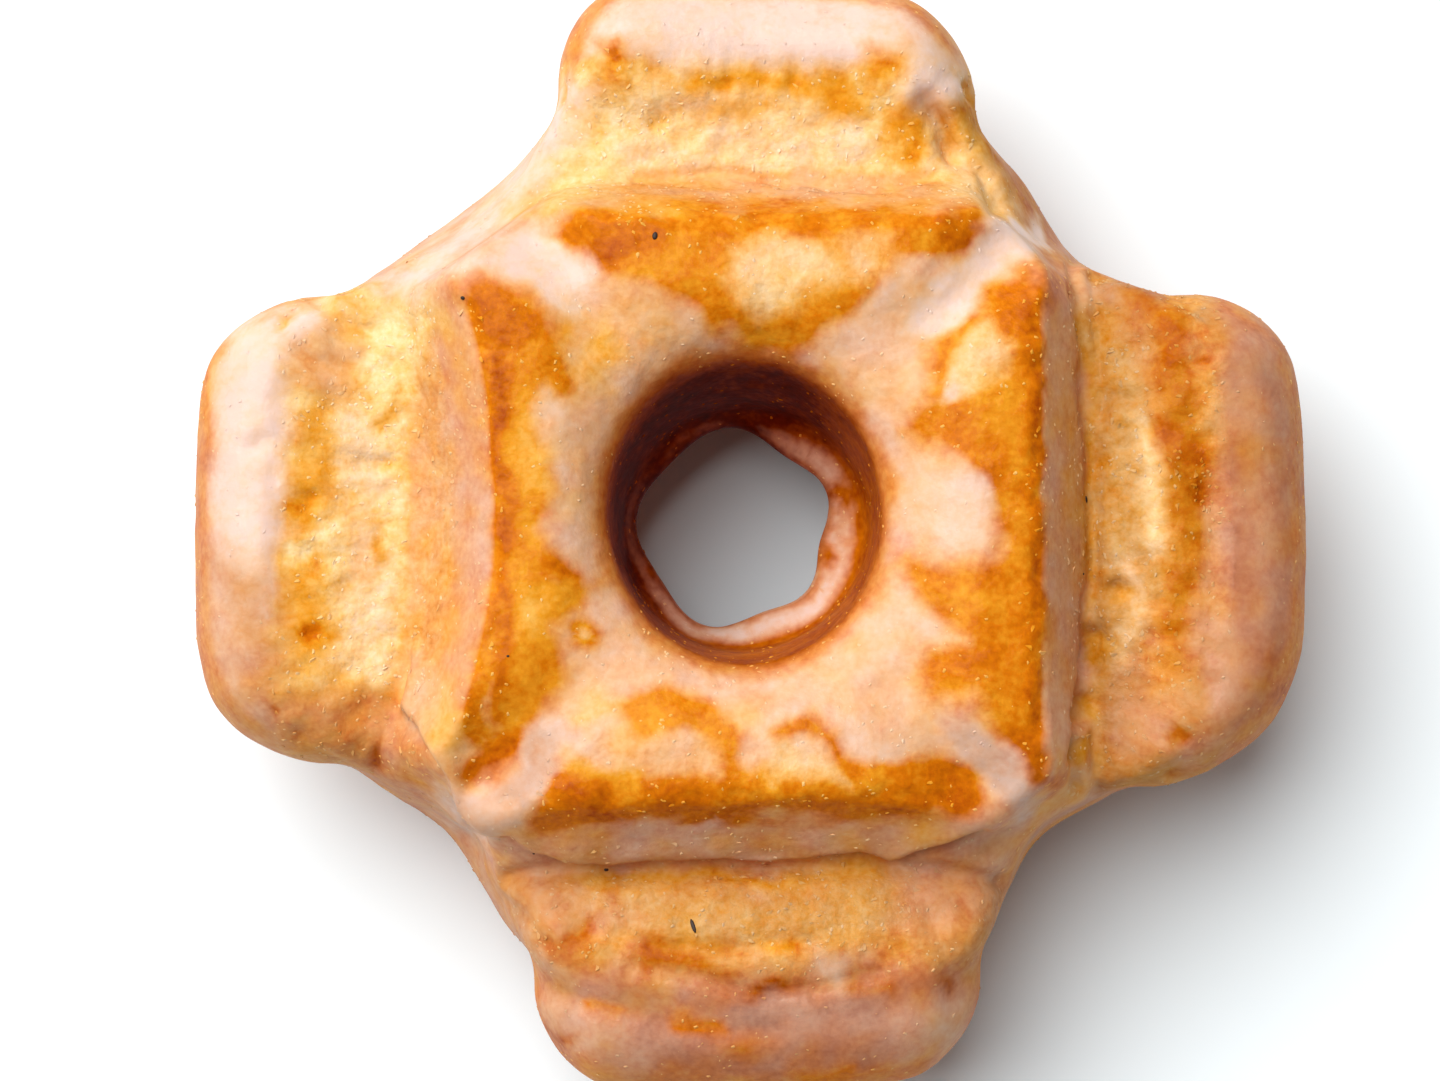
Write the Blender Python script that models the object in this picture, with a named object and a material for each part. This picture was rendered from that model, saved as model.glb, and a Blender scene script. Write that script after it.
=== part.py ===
# Old-fashioned glazed doughnut
#
# A square old-fashioned ring, standing on its flat underside with its hole along Z.
# The fried top has split open: a raised crown with four straight edges stands round
# the hole, and four thick petals have rolled outwards from it over a plain lower ring.
# Lengths in the functions are in millimetres, and the mesh is scaled to metres.

import math

import bpy
import numpy as np

MM = 0.001

# Overall heights: the crown's top, the valley outside it, and the crumb beside the rolls
CROWN_HEIGHT = 34.0
VALLEY_HEIGHT = 24.4
SHELF_HEIGHT = 26.6

# Petals, counter-clockwise from +X: the way each points, how far it reaches, how far it
# spreads to its left and right, the height of the roll along its outer end, and how
# strongly the roll's ends curl back
PETALS = {
    "right": {"heading": 0, "reach": 46.4, "left": 18.4, "right": 22.4, "roll": 27.0, "curl": 0.026},
    "back": {"heading": 90, "reach": 44.6, "left": 16.0, "right": 18.6, "roll": 27.6, "curl": 0.024},
    "left": {"heading": 180, "reach": 45.8, "left": 20.0, "right": 18.2, "roll": 27.8, "curl": 0.026},
    "front": {"heading": 270, "reach": 46.9, "left": 19.6, "right": 17.6, "roll": 25.6, "curl": 0.010},
}
ROLL_HALF_WIDTH = 6.3
ROLL_HALF_HEIGHT = 8.0
ROLL_BOW = 0.0030
ROLL_CURL_START = 8.0
ROLL_FILLET = 1.8

# The crumb shelf between the crown and a roll
SHELF_START = 29.0
SHELF_FULL = 35.0
SHELF_INSET = 1.0
SHELF_END_ROUND = 3.0
SHELF_SIDE_ROUND = 5.0
SHELF_SPREAD = 0.30
SHELF_SPREAD_LENGTH = 16.0
PETAL_UNDERSIDE = 10.5
PETAL_LIFT = 0.25
PETAL_LIFT_START = 36.0
PETAL_LIFT_LENGTH = 12.0
PETAL_ROOT = 14.0
PETAL_ROUND = 4.0
PETAL_FILLET = 4.0

# Crown: each straight side's distance from the hole's axis, how far its ends flare
# outwards and how far its flank leans, and each cut corner's distance and heading
CROWN_SIDES = {
    "right": {"heading": 0, "distance": 23.2, "flare": 0.3, "lean": 0.50},
    "back": {"heading": 90, "distance": 23.0, "flare": 0.4, "lean": 0.48},
    "left": {"heading": 180, "distance": 20.4, "flare": 2.9, "lean": 0.66},
    "front": {"heading": 270, "distance": 22.8, "flare": 0.8, "lean": 0.62},
}
CROWN_CORNERS = {
    "back right": {"heading": 45, "distance": 30.4},
    "back left": {"heading": 127, "distance": 28.8},
    "front left": {"heading": 226, "distance": 32.0},
    "front right": {"heading": 308, "distance": 31.6},
}
FLARE_HALF_LENGTH = 20.0
CORNER_LEAN = 0.22
CORNER_ROUND = 1.6
FLANK_DEPTH = 11.0
FLANK_TO_NORMAL = 0.89
CROWN_UNDERSIDE = 9.0
CROWN_UNDER_ROUND = 5.0
CROWN_EDGE_ROUND = 1.3
CROWN_FILLET = 0.9
FAR_INSIDE = -50.0

# Crown's top: a mound inside each straight side, a channel out to each cut corner, and a
# slight fall to the hole
MOUND_HEIGHT = 1.5
MOUND_INSET = 4.2
MOUND_HALF_WIDTH = 4.2
MOUND_EDGE_DROP = 0.30
MOUND_HALF_LENGTH = (13.0, 24.0)
CHANNEL_DEPTH = 2.4
CHANNEL_HALF_WIDTH = 3.6
CHANNEL_START = 15.0
CHANNEL_END = 29.0
LIP_DROP = 1.2
LIP_DROP_RADII = (11.0, 17.0)

# Hole: radii at the lip, the ledge half way down, widest to the right, and the underside
LIP_RADII = (11.3, 12.6)
LIP_ROUND = 3.0
LEDGE_CENTRE = (0.0, -0.5)
LEDGE_RADIUS = 7.9
LEDGE_BUMP = 2.4
LEDGE_LEAN = 1.15
LEDGE_LEAN_HEADING = -20.0
LEDGE_HEIGHT = 12.0
LEDGE_HALF_THICKNESS = 2.3
LEDGE_WALL = 4.0
LEDGE_UNDER = 2.0
LEDGE_SIDES = 5
LEDGE_FLAT = 0.45
LEDGE_TURN = 28.0
UNDER_RADIUS = 11.6

# Lower ring: widest radius, its height, how far it draws in to the underside and to the
# top, how far it swells under each petal, and the bulges that show between the petals
RING_RADIUS = 35.4
RING_WIDEST = 8.0
RING_FOOT = 5.2
RING_SHOULDER = 4.6
RING_TOP = 25.0
RING_TOP_ROUND = 4.0
RING_BASE_ROUND = 1.5
PETAL_SWELL = 4.4
PETAL_SWELL_SPREAD = 24.0
RING_BULGES = {
    "back right": {"heading": 54, "spread": 9, "height": 2.0},
    "back left": {"heading": 147, "spread": 9, "height": 1.0},
    "left front": {"heading": 213, "spread": 8, "height": 1.6},
    "front left": {"heading": 239, "spread": 9, "height": 2.0},
    "front right": {"heading": 303, "spread": 8, "height": 1.6},
    "right front": {"heading": 326, "spread": 8, "height": 1.6},
}

# Unevenness of the whole, and the torn crumb between the crown and the rolls
WAVER = 0.55
WAVER_CELL = 13.0
WAVER_SEEDS = (1, 2, 3)
CRAG_HEIGHT = 1.5
CRAG_LEVEL = 0.45
CRAG_CELL = 4.6
CRAG_SEED = 7
GRIT_HEIGHT = 0.5
GRIT_CELL = 2.1
GRIT_SEED = 8
TORN_OUT = (24.5, 26.5, 35.5, 38.5)
TORN_ACROSS = (19.0, 24.0)
TORN_ABOVE = (20.0, 23.0)

# Large whole numbers that scramble a place and a seed into noise
SCRAMBLE_X = 73856093
SCRAMBLE_Y = 19349663
SCRAMBLE_Z = 83492791
SCRAMBLE_SEED = 2654435761
SCRAMBLE_AGAIN = 1274126177
SCRAMBLE_LEVELS = 65536
SEED_OFFSET = 17.31

# The circle inside the dough that the surface is measured from, and the mesh's fineness
CORE_RADIUS = 22.5
CORE_HEIGHT = 12.0
RING_STEPS = 256
SECTION_STEPS = 190
KEPT_TRIANGLES = 9728
LONGEST_RAY = 34.0
RAY_STEPS = 68
HALVINGS = 14
BASE_TOLERANCE = 0.01

CRUST_COLOUR = (0.78, 0.42, 0.14, 1.0)
CRUST_ROUGHNESS = 0.38


def smooth_step(low, high, value):
    """0 at low, 1 at high, with a smooth change between."""
    share = np.clip((value - low) / (high - low), 0, 1)
    return share * share * (3 - 2 * share)


def joined(a, b, fillet):
    """The union of two shapes, each negative inside, with a fillet where they meet."""
    near = np.maximum(fillet - np.abs(a - b), 0) / fillet
    return np.minimum(a, b) - near * near * fillet / 4


def trimmed(a, b, round_over):
    """What two shapes have in common, with the edge between them rounded over."""
    return -joined(-a, -b, round_over)


def scrambled(x, y, z, seed):
    """A number from -1 to 1 that looks random but belongs to one whole-number place."""
    mixed = (x * SCRAMBLE_X) ^ (y * SCRAMBLE_Y) ^ (z * SCRAMBLE_Z) ^ (seed * SCRAMBLE_SEED)
    mixed = (mixed ^ (mixed >> 13)) * SCRAMBLE_AGAIN & 0x7FFFFFFF
    return 2 * ((mixed ^ (mixed >> 16)) % SCRAMBLE_LEVELS) / (SCRAMBLE_LEVELS - 1) - 1


def noise(points, cell, seed):
    """Smooth noise from -1 to 1 with bumps about one cell wide."""
    scaled = points / cell + seed * SEED_OFFSET
    corner = np.floor(scaled).astype(np.int64)
    share = scaled - corner
    share = share * share * (3 - 2 * share)
    total = np.zeros(len(points))
    for step in np.ndindex(2, 2, 2):
        x, y, z = (corner + step).T
        weight = np.where(step, share, 1 - share).prod(axis=1)
        total += weight * scrambled(x, y, z, seed)
    return total


def along(points, heading):
    """Distance along a heading, and to the left of it, in the XY plane."""
    c, s = math.cos(math.radians(heading)), math.sin(math.radians(heading))
    return points[:, 0] * c + points[:, 1] * s, points[:, 1] * c - points[:, 0] * s


def side_edge(side, across):
    """How far out the crown's top edge is on one side, flaring towards its ends."""
    return side["distance"] + side["flare"] * (across / FLARE_HALF_LENGTH) ** 2


def hole_radius(points):
    """The radius of the hole at each point's height and bearing, and how far the point is from its axis."""
    z = points[:, 2]
    low = smooth_step(CROWN_HEIGHT, LEDGE_HEIGHT, z)
    x = points[:, 0] - LEDGE_CENTRE[0] * low
    y = points[:, 1] - LEDGE_CENTRE[1] * low
    bearing = np.arctan2(y, x)
    throat = LEDGE_RADIUS + LEDGE_BUMP
    lip = 1 / np.hypot(np.cos(bearing) / LIP_RADII[0], np.sin(bearing) / LIP_RADII[1])
    wall = lip - (lip - throat) * smooth_step(CROWN_HEIGHT, LEDGE_HEIGHT + LEDGE_WALL, z)
    flat = LEDGE_FLAT * np.cos(LEDGE_SIDES * (bearing - math.radians(LEDGE_TURN)))
    lean = LEDGE_LEAN * np.cos(bearing - math.radians(LEDGE_LEAN_HEADING))
    ledge = (LEDGE_BUMP + lean - flat) * np.exp(-(((z - LEDGE_HEIGHT) / LEDGE_HALF_THICKNESS) ** 2))
    under = (UNDER_RADIUS - throat) * smooth_step(LEDGE_HEIGHT - LEDGE_UNDER, 0, z)
    return wall - ledge + under, np.hypot(x, y)


def crown_top(points):
    """Height of the crown's top: a mound along each side and a channel out to each corner."""
    height = np.full(len(points), CROWN_HEIGHT - MOUND_HEIGHT)
    full, gone = MOUND_HALF_LENGTH
    for side in CROWN_SIDES.values():
        out, across = along(points, side["heading"])
        inset = side_edge(side, across) - out
        crest = np.exp(-(((inset - MOUND_INSET) / MOUND_HALF_WIDTH) ** 2))
        crest = np.where(inset < MOUND_INSET, 1 - MOUND_EDGE_DROP * (1 - crest), crest)
        height += MOUND_HEIGHT * crest * smooth_step(gone, full, np.abs(across)) * (out > 0)
    for corner in CROWN_CORNERS.values():
        out, across = along(points, corner["heading"])
        hollow = np.exp(-((across / CHANNEL_HALF_WIDTH) ** 2))
        height -= CHANNEL_DEPTH * hollow * smooth_step(CHANNEL_START, CHANNEL_END, out)
    near, clear = LIP_DROP_RADII
    return height - LIP_DROP * smooth_step(clear, near, np.hypot(points[:, 0], points[:, 1]))


def crown(points):
    """The raised square round the hole, with leaning flanks and cut corners."""
    z = points[:, 2]
    drop = np.clip(CROWN_HEIGHT - z, 0, FLANK_DEPTH)
    sides = np.full(len(points), FAR_INSIDE)
    for side in CROWN_SIDES.values():
        out, across = along(points, side["heading"])
        sides = np.maximum(sides, out - side_edge(side, across) - side["lean"] * drop)
    for corner in CROWN_CORNERS.values():
        out, _ = along(points, corner["heading"])
        sides = trimmed(sides, out - corner["distance"] - CORNER_LEAN * drop, CORNER_ROUND)
    block = trimmed(sides, CROWN_UNDERSIDE - z, CROWN_UNDER_ROUND)
    return trimmed(block * FLANK_TO_NORMAL, z - crown_top(points), CROWN_EDGE_ROUND)


def petal(points, sizes):
    """One petal: a shelf of torn crumb with a roll along its outer end."""
    out, across = along(points, sizes["heading"])
    sideways = np.abs(across)
    z = points[:, 2]
    half_width = np.where(across > 0, sizes["left"], sizes["right"])
    curl = sizes["curl"] * np.maximum(sideways - ROLL_CURL_START, 0) ** 2
    roll_out = sizes["reach"] - ROLL_HALF_WIDTH - ROLL_BOW * across * across - curl

    rise = smooth_step(SHELF_START, SHELF_FULL, out)
    shelf_top = VALLEY_HEIGHT + (SHELF_HEIGHT - VALLEY_HEIGHT) * rise
    spread = half_width + SHELF_SPREAD * np.clip(roll_out - out, 0, SHELF_SPREAD_LENGTH)
    lift = PETAL_LIFT * np.clip(out - PETAL_LIFT_START, 0, PETAL_LIFT_LENGTH)
    shelf = trimmed(z - shelf_top, out - roll_out + SHELF_INSET, SHELF_END_ROUND)
    shelf = trimmed(shelf, sideways - spread, SHELF_SIDE_ROUND)
    shelf = trimmed(shelf, PETAL_UNDERSIDE + lift - z, PETAL_ROUND)
    shelf = trimmed(shelf, PETAL_ROOT - out, PETAL_ROUND)

    beyond = np.maximum(sideways - (half_width - ROLL_HALF_WIDTH), 0)
    centre = sizes["roll"] - ROLL_HALF_HEIGHT
    roll = np.sqrt(
        ((out - roll_out) / ROLL_HALF_WIDTH) ** 2
        + ((z - centre) / ROLL_HALF_HEIGHT) ** 2
        + (beyond / ROLL_HALF_WIDTH) ** 2
    )
    return joined(shelf, (roll - 1) * ROLL_HALF_WIDTH, ROLL_FILLET)


def lower_ring(points):
    """The plain ring underneath, which bulges a little between the petals."""
    z = points[:, 2]
    bearing = np.degrees(np.arctan2(points[:, 1], points[:, 0]))
    swells = [(sizes["heading"], PETAL_SWELL_SPREAD, PETAL_SWELL) for sizes in PETALS.values()]
    swells += [(bulge["heading"], bulge["spread"], bulge["height"]) for bulge in RING_BULGES.values()]
    widest = np.full(len(points), RING_RADIUS)
    for heading, spread, height in swells:
        away = (bearing - heading + 180) % 360 - 180
        widest += height * np.exp(-((away / spread) ** 2))
    foot = RING_FOOT * np.maximum((RING_WIDEST - z) / RING_WIDEST, 0) ** 2
    shoulder = RING_SHOULDER * np.maximum((z - RING_WIDEST) / (RING_TOP - RING_WIDEST), 0) ** 2
    outside = np.hypot(points[:, 0], points[:, 1]) - widest + foot + shoulder
    return trimmed(trimmed(outside, z - RING_TOP, RING_TOP_ROUND), -z, RING_BASE_ROUND)


def dough(points):
    """Negative inside the doughnut, positive outside."""
    waver = [noise(points, WAVER_CELL, seed) for seed in WAVER_SEEDS]
    points = points + WAVER * np.stack(waver, axis=1)
    shape = lower_ring(points)
    for sizes in PETALS.values():
        shape = joined(shape, petal(points, sizes), PETAL_FILLET)
    shape = joined(shape, crown(points), CROWN_FILLET)
    radius, to_axis = hole_radius(points)
    return trimmed(shape, radius - to_axis, LIP_ROUND)


def torn(points):
    """How far each point lies in the torn crumb between the crown and the rolls, from 0 to 1."""
    out = np.abs(points[:, :2]).max(axis=1)
    across = np.abs(points[:, :2]).min(axis=1)
    band = smooth_step(TORN_OUT[0], TORN_OUT[1], out) * smooth_step(TORN_OUT[3], TORN_OUT[2], out)
    ends = smooth_step(TORN_ACROSS[1], TORN_ACROSS[0], across)
    return band * ends * smooth_step(TORN_ABOVE[0], TORN_ABOVE[1], points[:, 2])


def surface_distance(cores, headings):
    """How far the surface is from each core point along its heading."""
    near = np.full(len(cores), 1.0)
    far = np.full(len(cores), LONGEST_RAY)
    still_inside = np.ones(len(cores), bool)
    for reach in np.linspace(1.0, LONGEST_RAY, RAY_STEPS):
        outside = dough(cores + headings * reach) > 0
        far = np.where(still_inside & outside, reach, far)
        near = np.where(still_inside & ~outside, reach, near)
        still_inside &= ~outside
    for _ in range(HALVINGS):
        middle = (near + far) / 2
        outside = dough(cores + headings * middle[:, None]) > 0
        far = np.where(outside, middle, far)
        near = np.where(outside, near, middle)
    return (near + far) / 2


def shape_ring(mesh):
    """Moves every point of the torus out to the doughnut's surface."""
    count = len(mesh.vertices)
    flat = np.empty(count * 3)
    mesh.vertices.foreach_get("co", flat)
    start = flat.reshape(count, 3) / MM
    start[:, 2] += CORE_HEIGHT
    cores = start * (CORE_RADIUS / np.hypot(start[:, 0], start[:, 1]))[:, None]
    cores[:, 2] = CORE_HEIGHT
    headings = start - cores
    headings /= np.linalg.norm(headings, axis=1)[:, None]

    points = cores + headings * surface_distance(cores, headings)[:, None]
    crags = CRAG_HEIGHT * (CRAG_LEVEL - np.abs(noise(points, CRAG_CELL, CRAG_SEED)))
    grit = GRIT_HEIGHT * noise(points, GRIT_CELL, GRIT_SEED)
    points += headings * ((crags + grit) * torn(points))[:, None]

    points[:, 2] = np.maximum(points[:, 2], 0)
    middle = (points.min(axis=0) + points.max(axis=0)) / 2
    points[:, :2] -= middle[:2]
    mesh.vertices.foreach_set("co", (points * MM).ravel())
    mesh.update()


def crust_material():
    material = bpy.data.materials.new("glazed_crust")
    material.use_nodes = True
    shader = material.node_tree.nodes["Principled BSDF"]
    shader.inputs["Base Color"].default_value = CRUST_COLOUR
    shader.inputs["Roughness"].default_value = CRUST_ROUGHNESS
    shader.inputs["Metallic"].default_value = 0.0
    return material


def keep_fewer_faces(doughnut):
    """Thins the mesh where it is smooth, and makes the underside exactly flat again."""
    thin = doughnut.modifiers.new("fewer faces", "DECIMATE")
    thin.ratio = KEPT_TRIANGLES / (2 * RING_STEPS * SECTION_STEPS)
    dense = doughnut.data
    view = doughnut.evaluated_get(bpy.context.evaluated_depsgraph_get())
    doughnut.data = bpy.data.meshes.new_from_object(view)
    doughnut.modifiers.clear()
    bpy.data.meshes.remove(dense)
    doughnut.data.name = "doughnut"
    for vertex in doughnut.data.vertices:
        if vertex.co.z < BASE_TOLERANCE * MM:
            vertex.co.z = 0


def make_doughnut():
    bpy.ops.mesh.primitive_torus_add(
        major_segments=RING_STEPS,
        minor_segments=SECTION_STEPS,
        major_radius=CORE_RADIUS * MM,
        minor_radius=CORE_HEIGHT * MM,
    )
    doughnut = bpy.context.object
    doughnut.name = "doughnut"
    doughnut.data.materials.append(crust_material())
    shape_ring(doughnut.data)
    doughnut.data.shade_smooth()
    keep_fewer_faces(doughnut)
    return doughnut


def main():
    for obj in list(bpy.data.objects):
        bpy.data.objects.remove(obj)
    collection = bpy.data.collections.new("old fashioned doughnut")
    bpy.context.scene.collection.children.link(collection)
    doughnut = make_doughnut()
    for home in list(doughnut.users_collection):
        home.objects.unlink(doughnut)
    collection.objects.link(doughnut)


main()
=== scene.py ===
# Old-fashioned glazed doughnut: the looks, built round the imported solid
import math
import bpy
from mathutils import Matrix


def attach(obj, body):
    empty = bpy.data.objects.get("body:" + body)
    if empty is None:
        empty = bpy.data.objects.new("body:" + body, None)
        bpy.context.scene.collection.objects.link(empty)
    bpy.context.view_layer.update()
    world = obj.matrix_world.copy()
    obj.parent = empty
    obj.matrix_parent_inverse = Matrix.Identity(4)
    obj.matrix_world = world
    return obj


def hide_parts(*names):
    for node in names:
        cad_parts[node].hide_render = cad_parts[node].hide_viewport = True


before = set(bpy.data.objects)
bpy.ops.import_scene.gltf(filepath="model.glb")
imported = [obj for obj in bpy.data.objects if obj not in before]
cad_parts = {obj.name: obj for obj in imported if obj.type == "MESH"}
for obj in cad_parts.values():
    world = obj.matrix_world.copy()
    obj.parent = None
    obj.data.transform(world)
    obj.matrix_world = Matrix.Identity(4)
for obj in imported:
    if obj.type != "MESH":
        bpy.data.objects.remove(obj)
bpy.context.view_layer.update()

from types import SimpleNamespace

import bmesh
import bpy
import numpy as np
from mathutils import Matrix, Vector

mm = 0.001

# The photo's view, with lengths in millimetres in the dough's own frame
photoView = {
    "imageWidth": 1440,
    "imageHeight": 1081,
    "tilt": 3.5,
    "distance": 420.0,
    "frameWidth": 119.1,
    "target": (-2.1, -1.7, 18.0),
    "sensor": 36.0,
}


def named(sizes):  # a dictionary's values, read as attributes
    return SimpleNamespace(**sizes)


def smoothStep(low, high, value):
    share = np.clip((value - low) / (high - low), 0, 1)
    return share * share * (3 - 2 * share)


def joined(a, b, fillet):  # union of two shapes, negative inside
    near = np.maximum(fillet - np.abs(a - b), 0) / fillet
    return np.minimum(a, b) - near * near * fillet / 4


def trimmed(a, b, roundOver):  # what two shapes have in common
    return -joined(-a, -b, roundOver)


def scrambled(x, y, z, seed):
    mixed = (x * 73856093) ^ (y * 19349663) ^ (z * 83492791) ^ (seed * 2654435761)
    mixed = (mixed ^ (mixed >> 13)) * 1274126177 & 0x7FFFFFFF
    return (mixed ^ (mixed >> 16)) % 65536 / 32767.5 - 1


def noise(points, cell, seed):  # smooth, -1 to 1, bumps about one cell wide
    scaled = points / cell + seed * 17.31
    corner = np.floor(scaled).astype(np.int64)
    share = scaled - corner
    share = share * share * (3 - 2 * share)
    total = np.zeros(len(points))
    for step in np.ndindex(2, 2, 2):
        x, y, z = (corner + step).T
        weight = np.where(step, share, 1 - share).prod(axis=1)
        total += weight * scrambled(x, y, z, seed)
    return total


def layeredNoise(points, cell, seed, layers=3):
    total, strength = 0, 1.0
    for layer in range(layers):
        total = total + strength * noise(points, cell / 2 ** layer, seed + layer)
        strength *= 0.55
    return total / 1.6


def along(points, heading):
    c, s = math.cos(math.radians(heading)), math.sin(math.radians(heading))
    return points[:, 0] * c + points[:, 1] * s, points[:, 1] * c - points[:, 0] * s


# The dough's form, in millimetres: a raised crown, four petals and a lower ring
heights = {"crown": 34.0, "valley": 24.4, "shelf": 26.6}
petals = {
    "right": {"heading": 0, "reach": 46.4, "left": 18.4, "right": 22.4, "roll": 27.0, "curl": 0.026},
    "back": {"heading": 90, "reach": 44.6, "left": 16.0, "right": 18.6, "roll": 27.6, "curl": 0.024},
    "left": {"heading": 180, "reach": 45.8, "left": 20.0, "right": 18.2, "roll": 27.8, "curl": 0.026},
    "front": {"heading": 270, "reach": 46.9, "left": 19.6, "right": 17.6, "roll": 25.6, "curl": 0.010},
}
petalForm = {
    "rollHalfWidth": 6.3, "rollHalfHeight": 8.0, "bow": 0.0030, "curlStart": 8.0, "rollFillet": 1.8,
    "shelfStart": 29.0, "shelfFull": 35.0, "shelfInset": 1.0, "endRound": 3.0, "sideRound": 5.0,
    "spread": 0.30, "spreadLength": 16.0, "underside": 10.5, "lift": 0.25, "liftStart": 36.0,
    "liftLength": 12.0, "root": 14.0, "round": 4.0, "fillet": 4.0,
}
crownSides = {
    "right": {"heading": 0, "distance": 23.2, "flare": 0.3, "lean": 0.50},
    "back": {"heading": 90, "distance": 23.0, "flare": 0.4, "lean": 0.48},
    "left": {"heading": 180, "distance": 20.4, "flare": 2.9, "lean": 0.66},
    "front": {"heading": 270, "distance": 22.8, "flare": 0.8, "lean": 0.62},
}
crownCorners = {
    "back right": {"heading": 45, "distance": 30.4},
    "back left": {"heading": 127, "distance": 28.8},
    "front left": {"heading": 226, "distance": 32.0},
    "front right": {"heading": 308, "distance": 31.6},
}
crownForm = {
    "flareHalfLength": 20.0, "cornerLean": 0.22, "cornerRound": 1.6, "flankDepth": 11.0,
    "toNormal": 0.89, "underside": 9.0, "underRound": 5.0, "edgeRound": 1.3, "fillet": 0.9,
    "mound": 1.5, "moundInset": 4.2, "moundHalfWidth": 4.2, "moundEdgeDrop": 0.30,
    "moundFull": 13.0, "moundGone": 24.0, "channelDepth": 2.4, "channelHalfWidth": 3.6,
    "channelStart": 15.0, "channelEnd": 29.0, "lipDrop": 1.2, "lipDropNear": 11.0, "lipDropClear": 17.0,
}
holeForm = {
    "lipX": 11.3, "lipY": 12.6, "lipRound": 3.0, "ledgeX": 0.0, "ledgeY": -0.5, "ledgeRadius": 7.9,
    "ledgeBump": 2.4, "ledgeLean": 1.15, "leanHeading": -20.0, "ledgeHeight": 12.0,
    "ledgeHalfThickness": 2.3, "ledgeWall": 4.0, "ledgeUnder": 2.0, "sides": 5, "flat": 0.45,
    "turn": 28.0, "underRadius": 11.6,
}
ringForm = {
    "radius": 35.4, "widest": 8.0, "foot": 5.2, "shoulder": 4.6, "top": 25.0, "topRound": 4.0,
    "baseRound": 1.5, "swell": 4.4, "swellSpread": 24.0,
}
ringBulges = {
    "back right": {"heading": 54, "spread": 9, "height": 2.0},
    "back left": {"heading": 147, "spread": 9, "height": 1.0},
    "left front": {"heading": 213, "spread": 8, "height": 1.6},
    "front left": {"heading": 239, "spread": 9, "height": 2.0},
    "front right": {"heading": 303, "spread": 8, "height": 1.6},
    "right front": {"heading": 326, "spread": 8, "height": 1.6},
}
waver = {"depth": 0.55, "cell": 13.0}


def sideEdge(side, across):
    return side["distance"] + side["flare"] * (across / crownForm["flareHalfLength"]) ** 2


def lipRadius(bearing):
    return 1 / np.hypot(np.cos(bearing) / holeForm["lipX"], np.sin(bearing) / holeForm["lipY"])


def holeRadius(points):
    f, z = named(holeForm), points[:, 2]
    low = smoothStep(heights["crown"], f.ledgeHeight, z)
    x = points[:, 0] - f.ledgeX * low
    y = points[:, 1] - f.ledgeY * low
    bearing = np.arctan2(y, x)
    throat = f.ledgeRadius + f.ledgeBump
    lip = lipRadius(bearing)
    wall = lip - (lip - throat) * smoothStep(heights["crown"], f.ledgeHeight + f.ledgeWall, z)
    flat = f.flat * np.cos(f.sides * (bearing - math.radians(f.turn)))
    lean = f.ledgeLean * np.cos(bearing - math.radians(f.leanHeading))
    bump = np.exp(-(((z - f.ledgeHeight) / f.ledgeHalfThickness) ** 2))
    ledge = (f.ledgeBump + lean - flat) * bump
    under = (f.underRadius - throat) * smoothStep(f.ledgeHeight - f.ledgeUnder, 0, z)
    return wall - ledge + under, np.hypot(x, y)


def crownTop(points):
    f = named(crownForm)
    height = np.full(len(points), heights["crown"] - f.mound)
    for side in crownSides.values():
        out, across = along(points, side["heading"])
        inset = sideEdge(side, across) - out
        crest = np.exp(-(((inset - f.moundInset) / f.moundHalfWidth) ** 2))
        crest = np.where(inset < f.moundInset, 1 - f.moundEdgeDrop * (1 - crest), crest)
        height += f.mound * crest * smoothStep(f.moundGone, f.moundFull, np.abs(across)) * (out > 0)
    for corner in crownCorners.values():
        out, across = along(points, corner["heading"])
        hollow = np.exp(-((across / f.channelHalfWidth) ** 2))
        height -= f.channelDepth * hollow * smoothStep(f.channelStart, f.channelEnd, out)
    near = smoothStep(f.lipDropClear, f.lipDropNear, np.hypot(points[:, 0], points[:, 1]))
    return height - f.lipDrop * near


def crown(points):
    f, z = named(crownForm), points[:, 2]
    drop = np.clip(heights["crown"] - z, 0, f.flankDepth)
    sides = np.full(len(points), -50.0)
    for side in crownSides.values():
        out, across = along(points, side["heading"])
        sides = np.maximum(sides, out - sideEdge(side, across) - side["lean"] * drop)
    for corner in crownCorners.values():
        out, _ = along(points, corner["heading"])
        sides = trimmed(sides, out - corner["distance"] - f.cornerLean * drop, f.cornerRound)
    block = trimmed(sides, f.underside - z, f.underRound)
    return trimmed(block * f.toNormal, z - crownTop(points), f.edgeRound)


def rollOut(sizes, across):  # how far out the middle of a petal's roll is
    f = named(petalForm)
    curl = sizes["curl"] * np.maximum(np.abs(across) - f.curlStart, 0) ** 2
    return sizes["reach"] - f.rollHalfWidth - f.bow * across * across - curl


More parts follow.
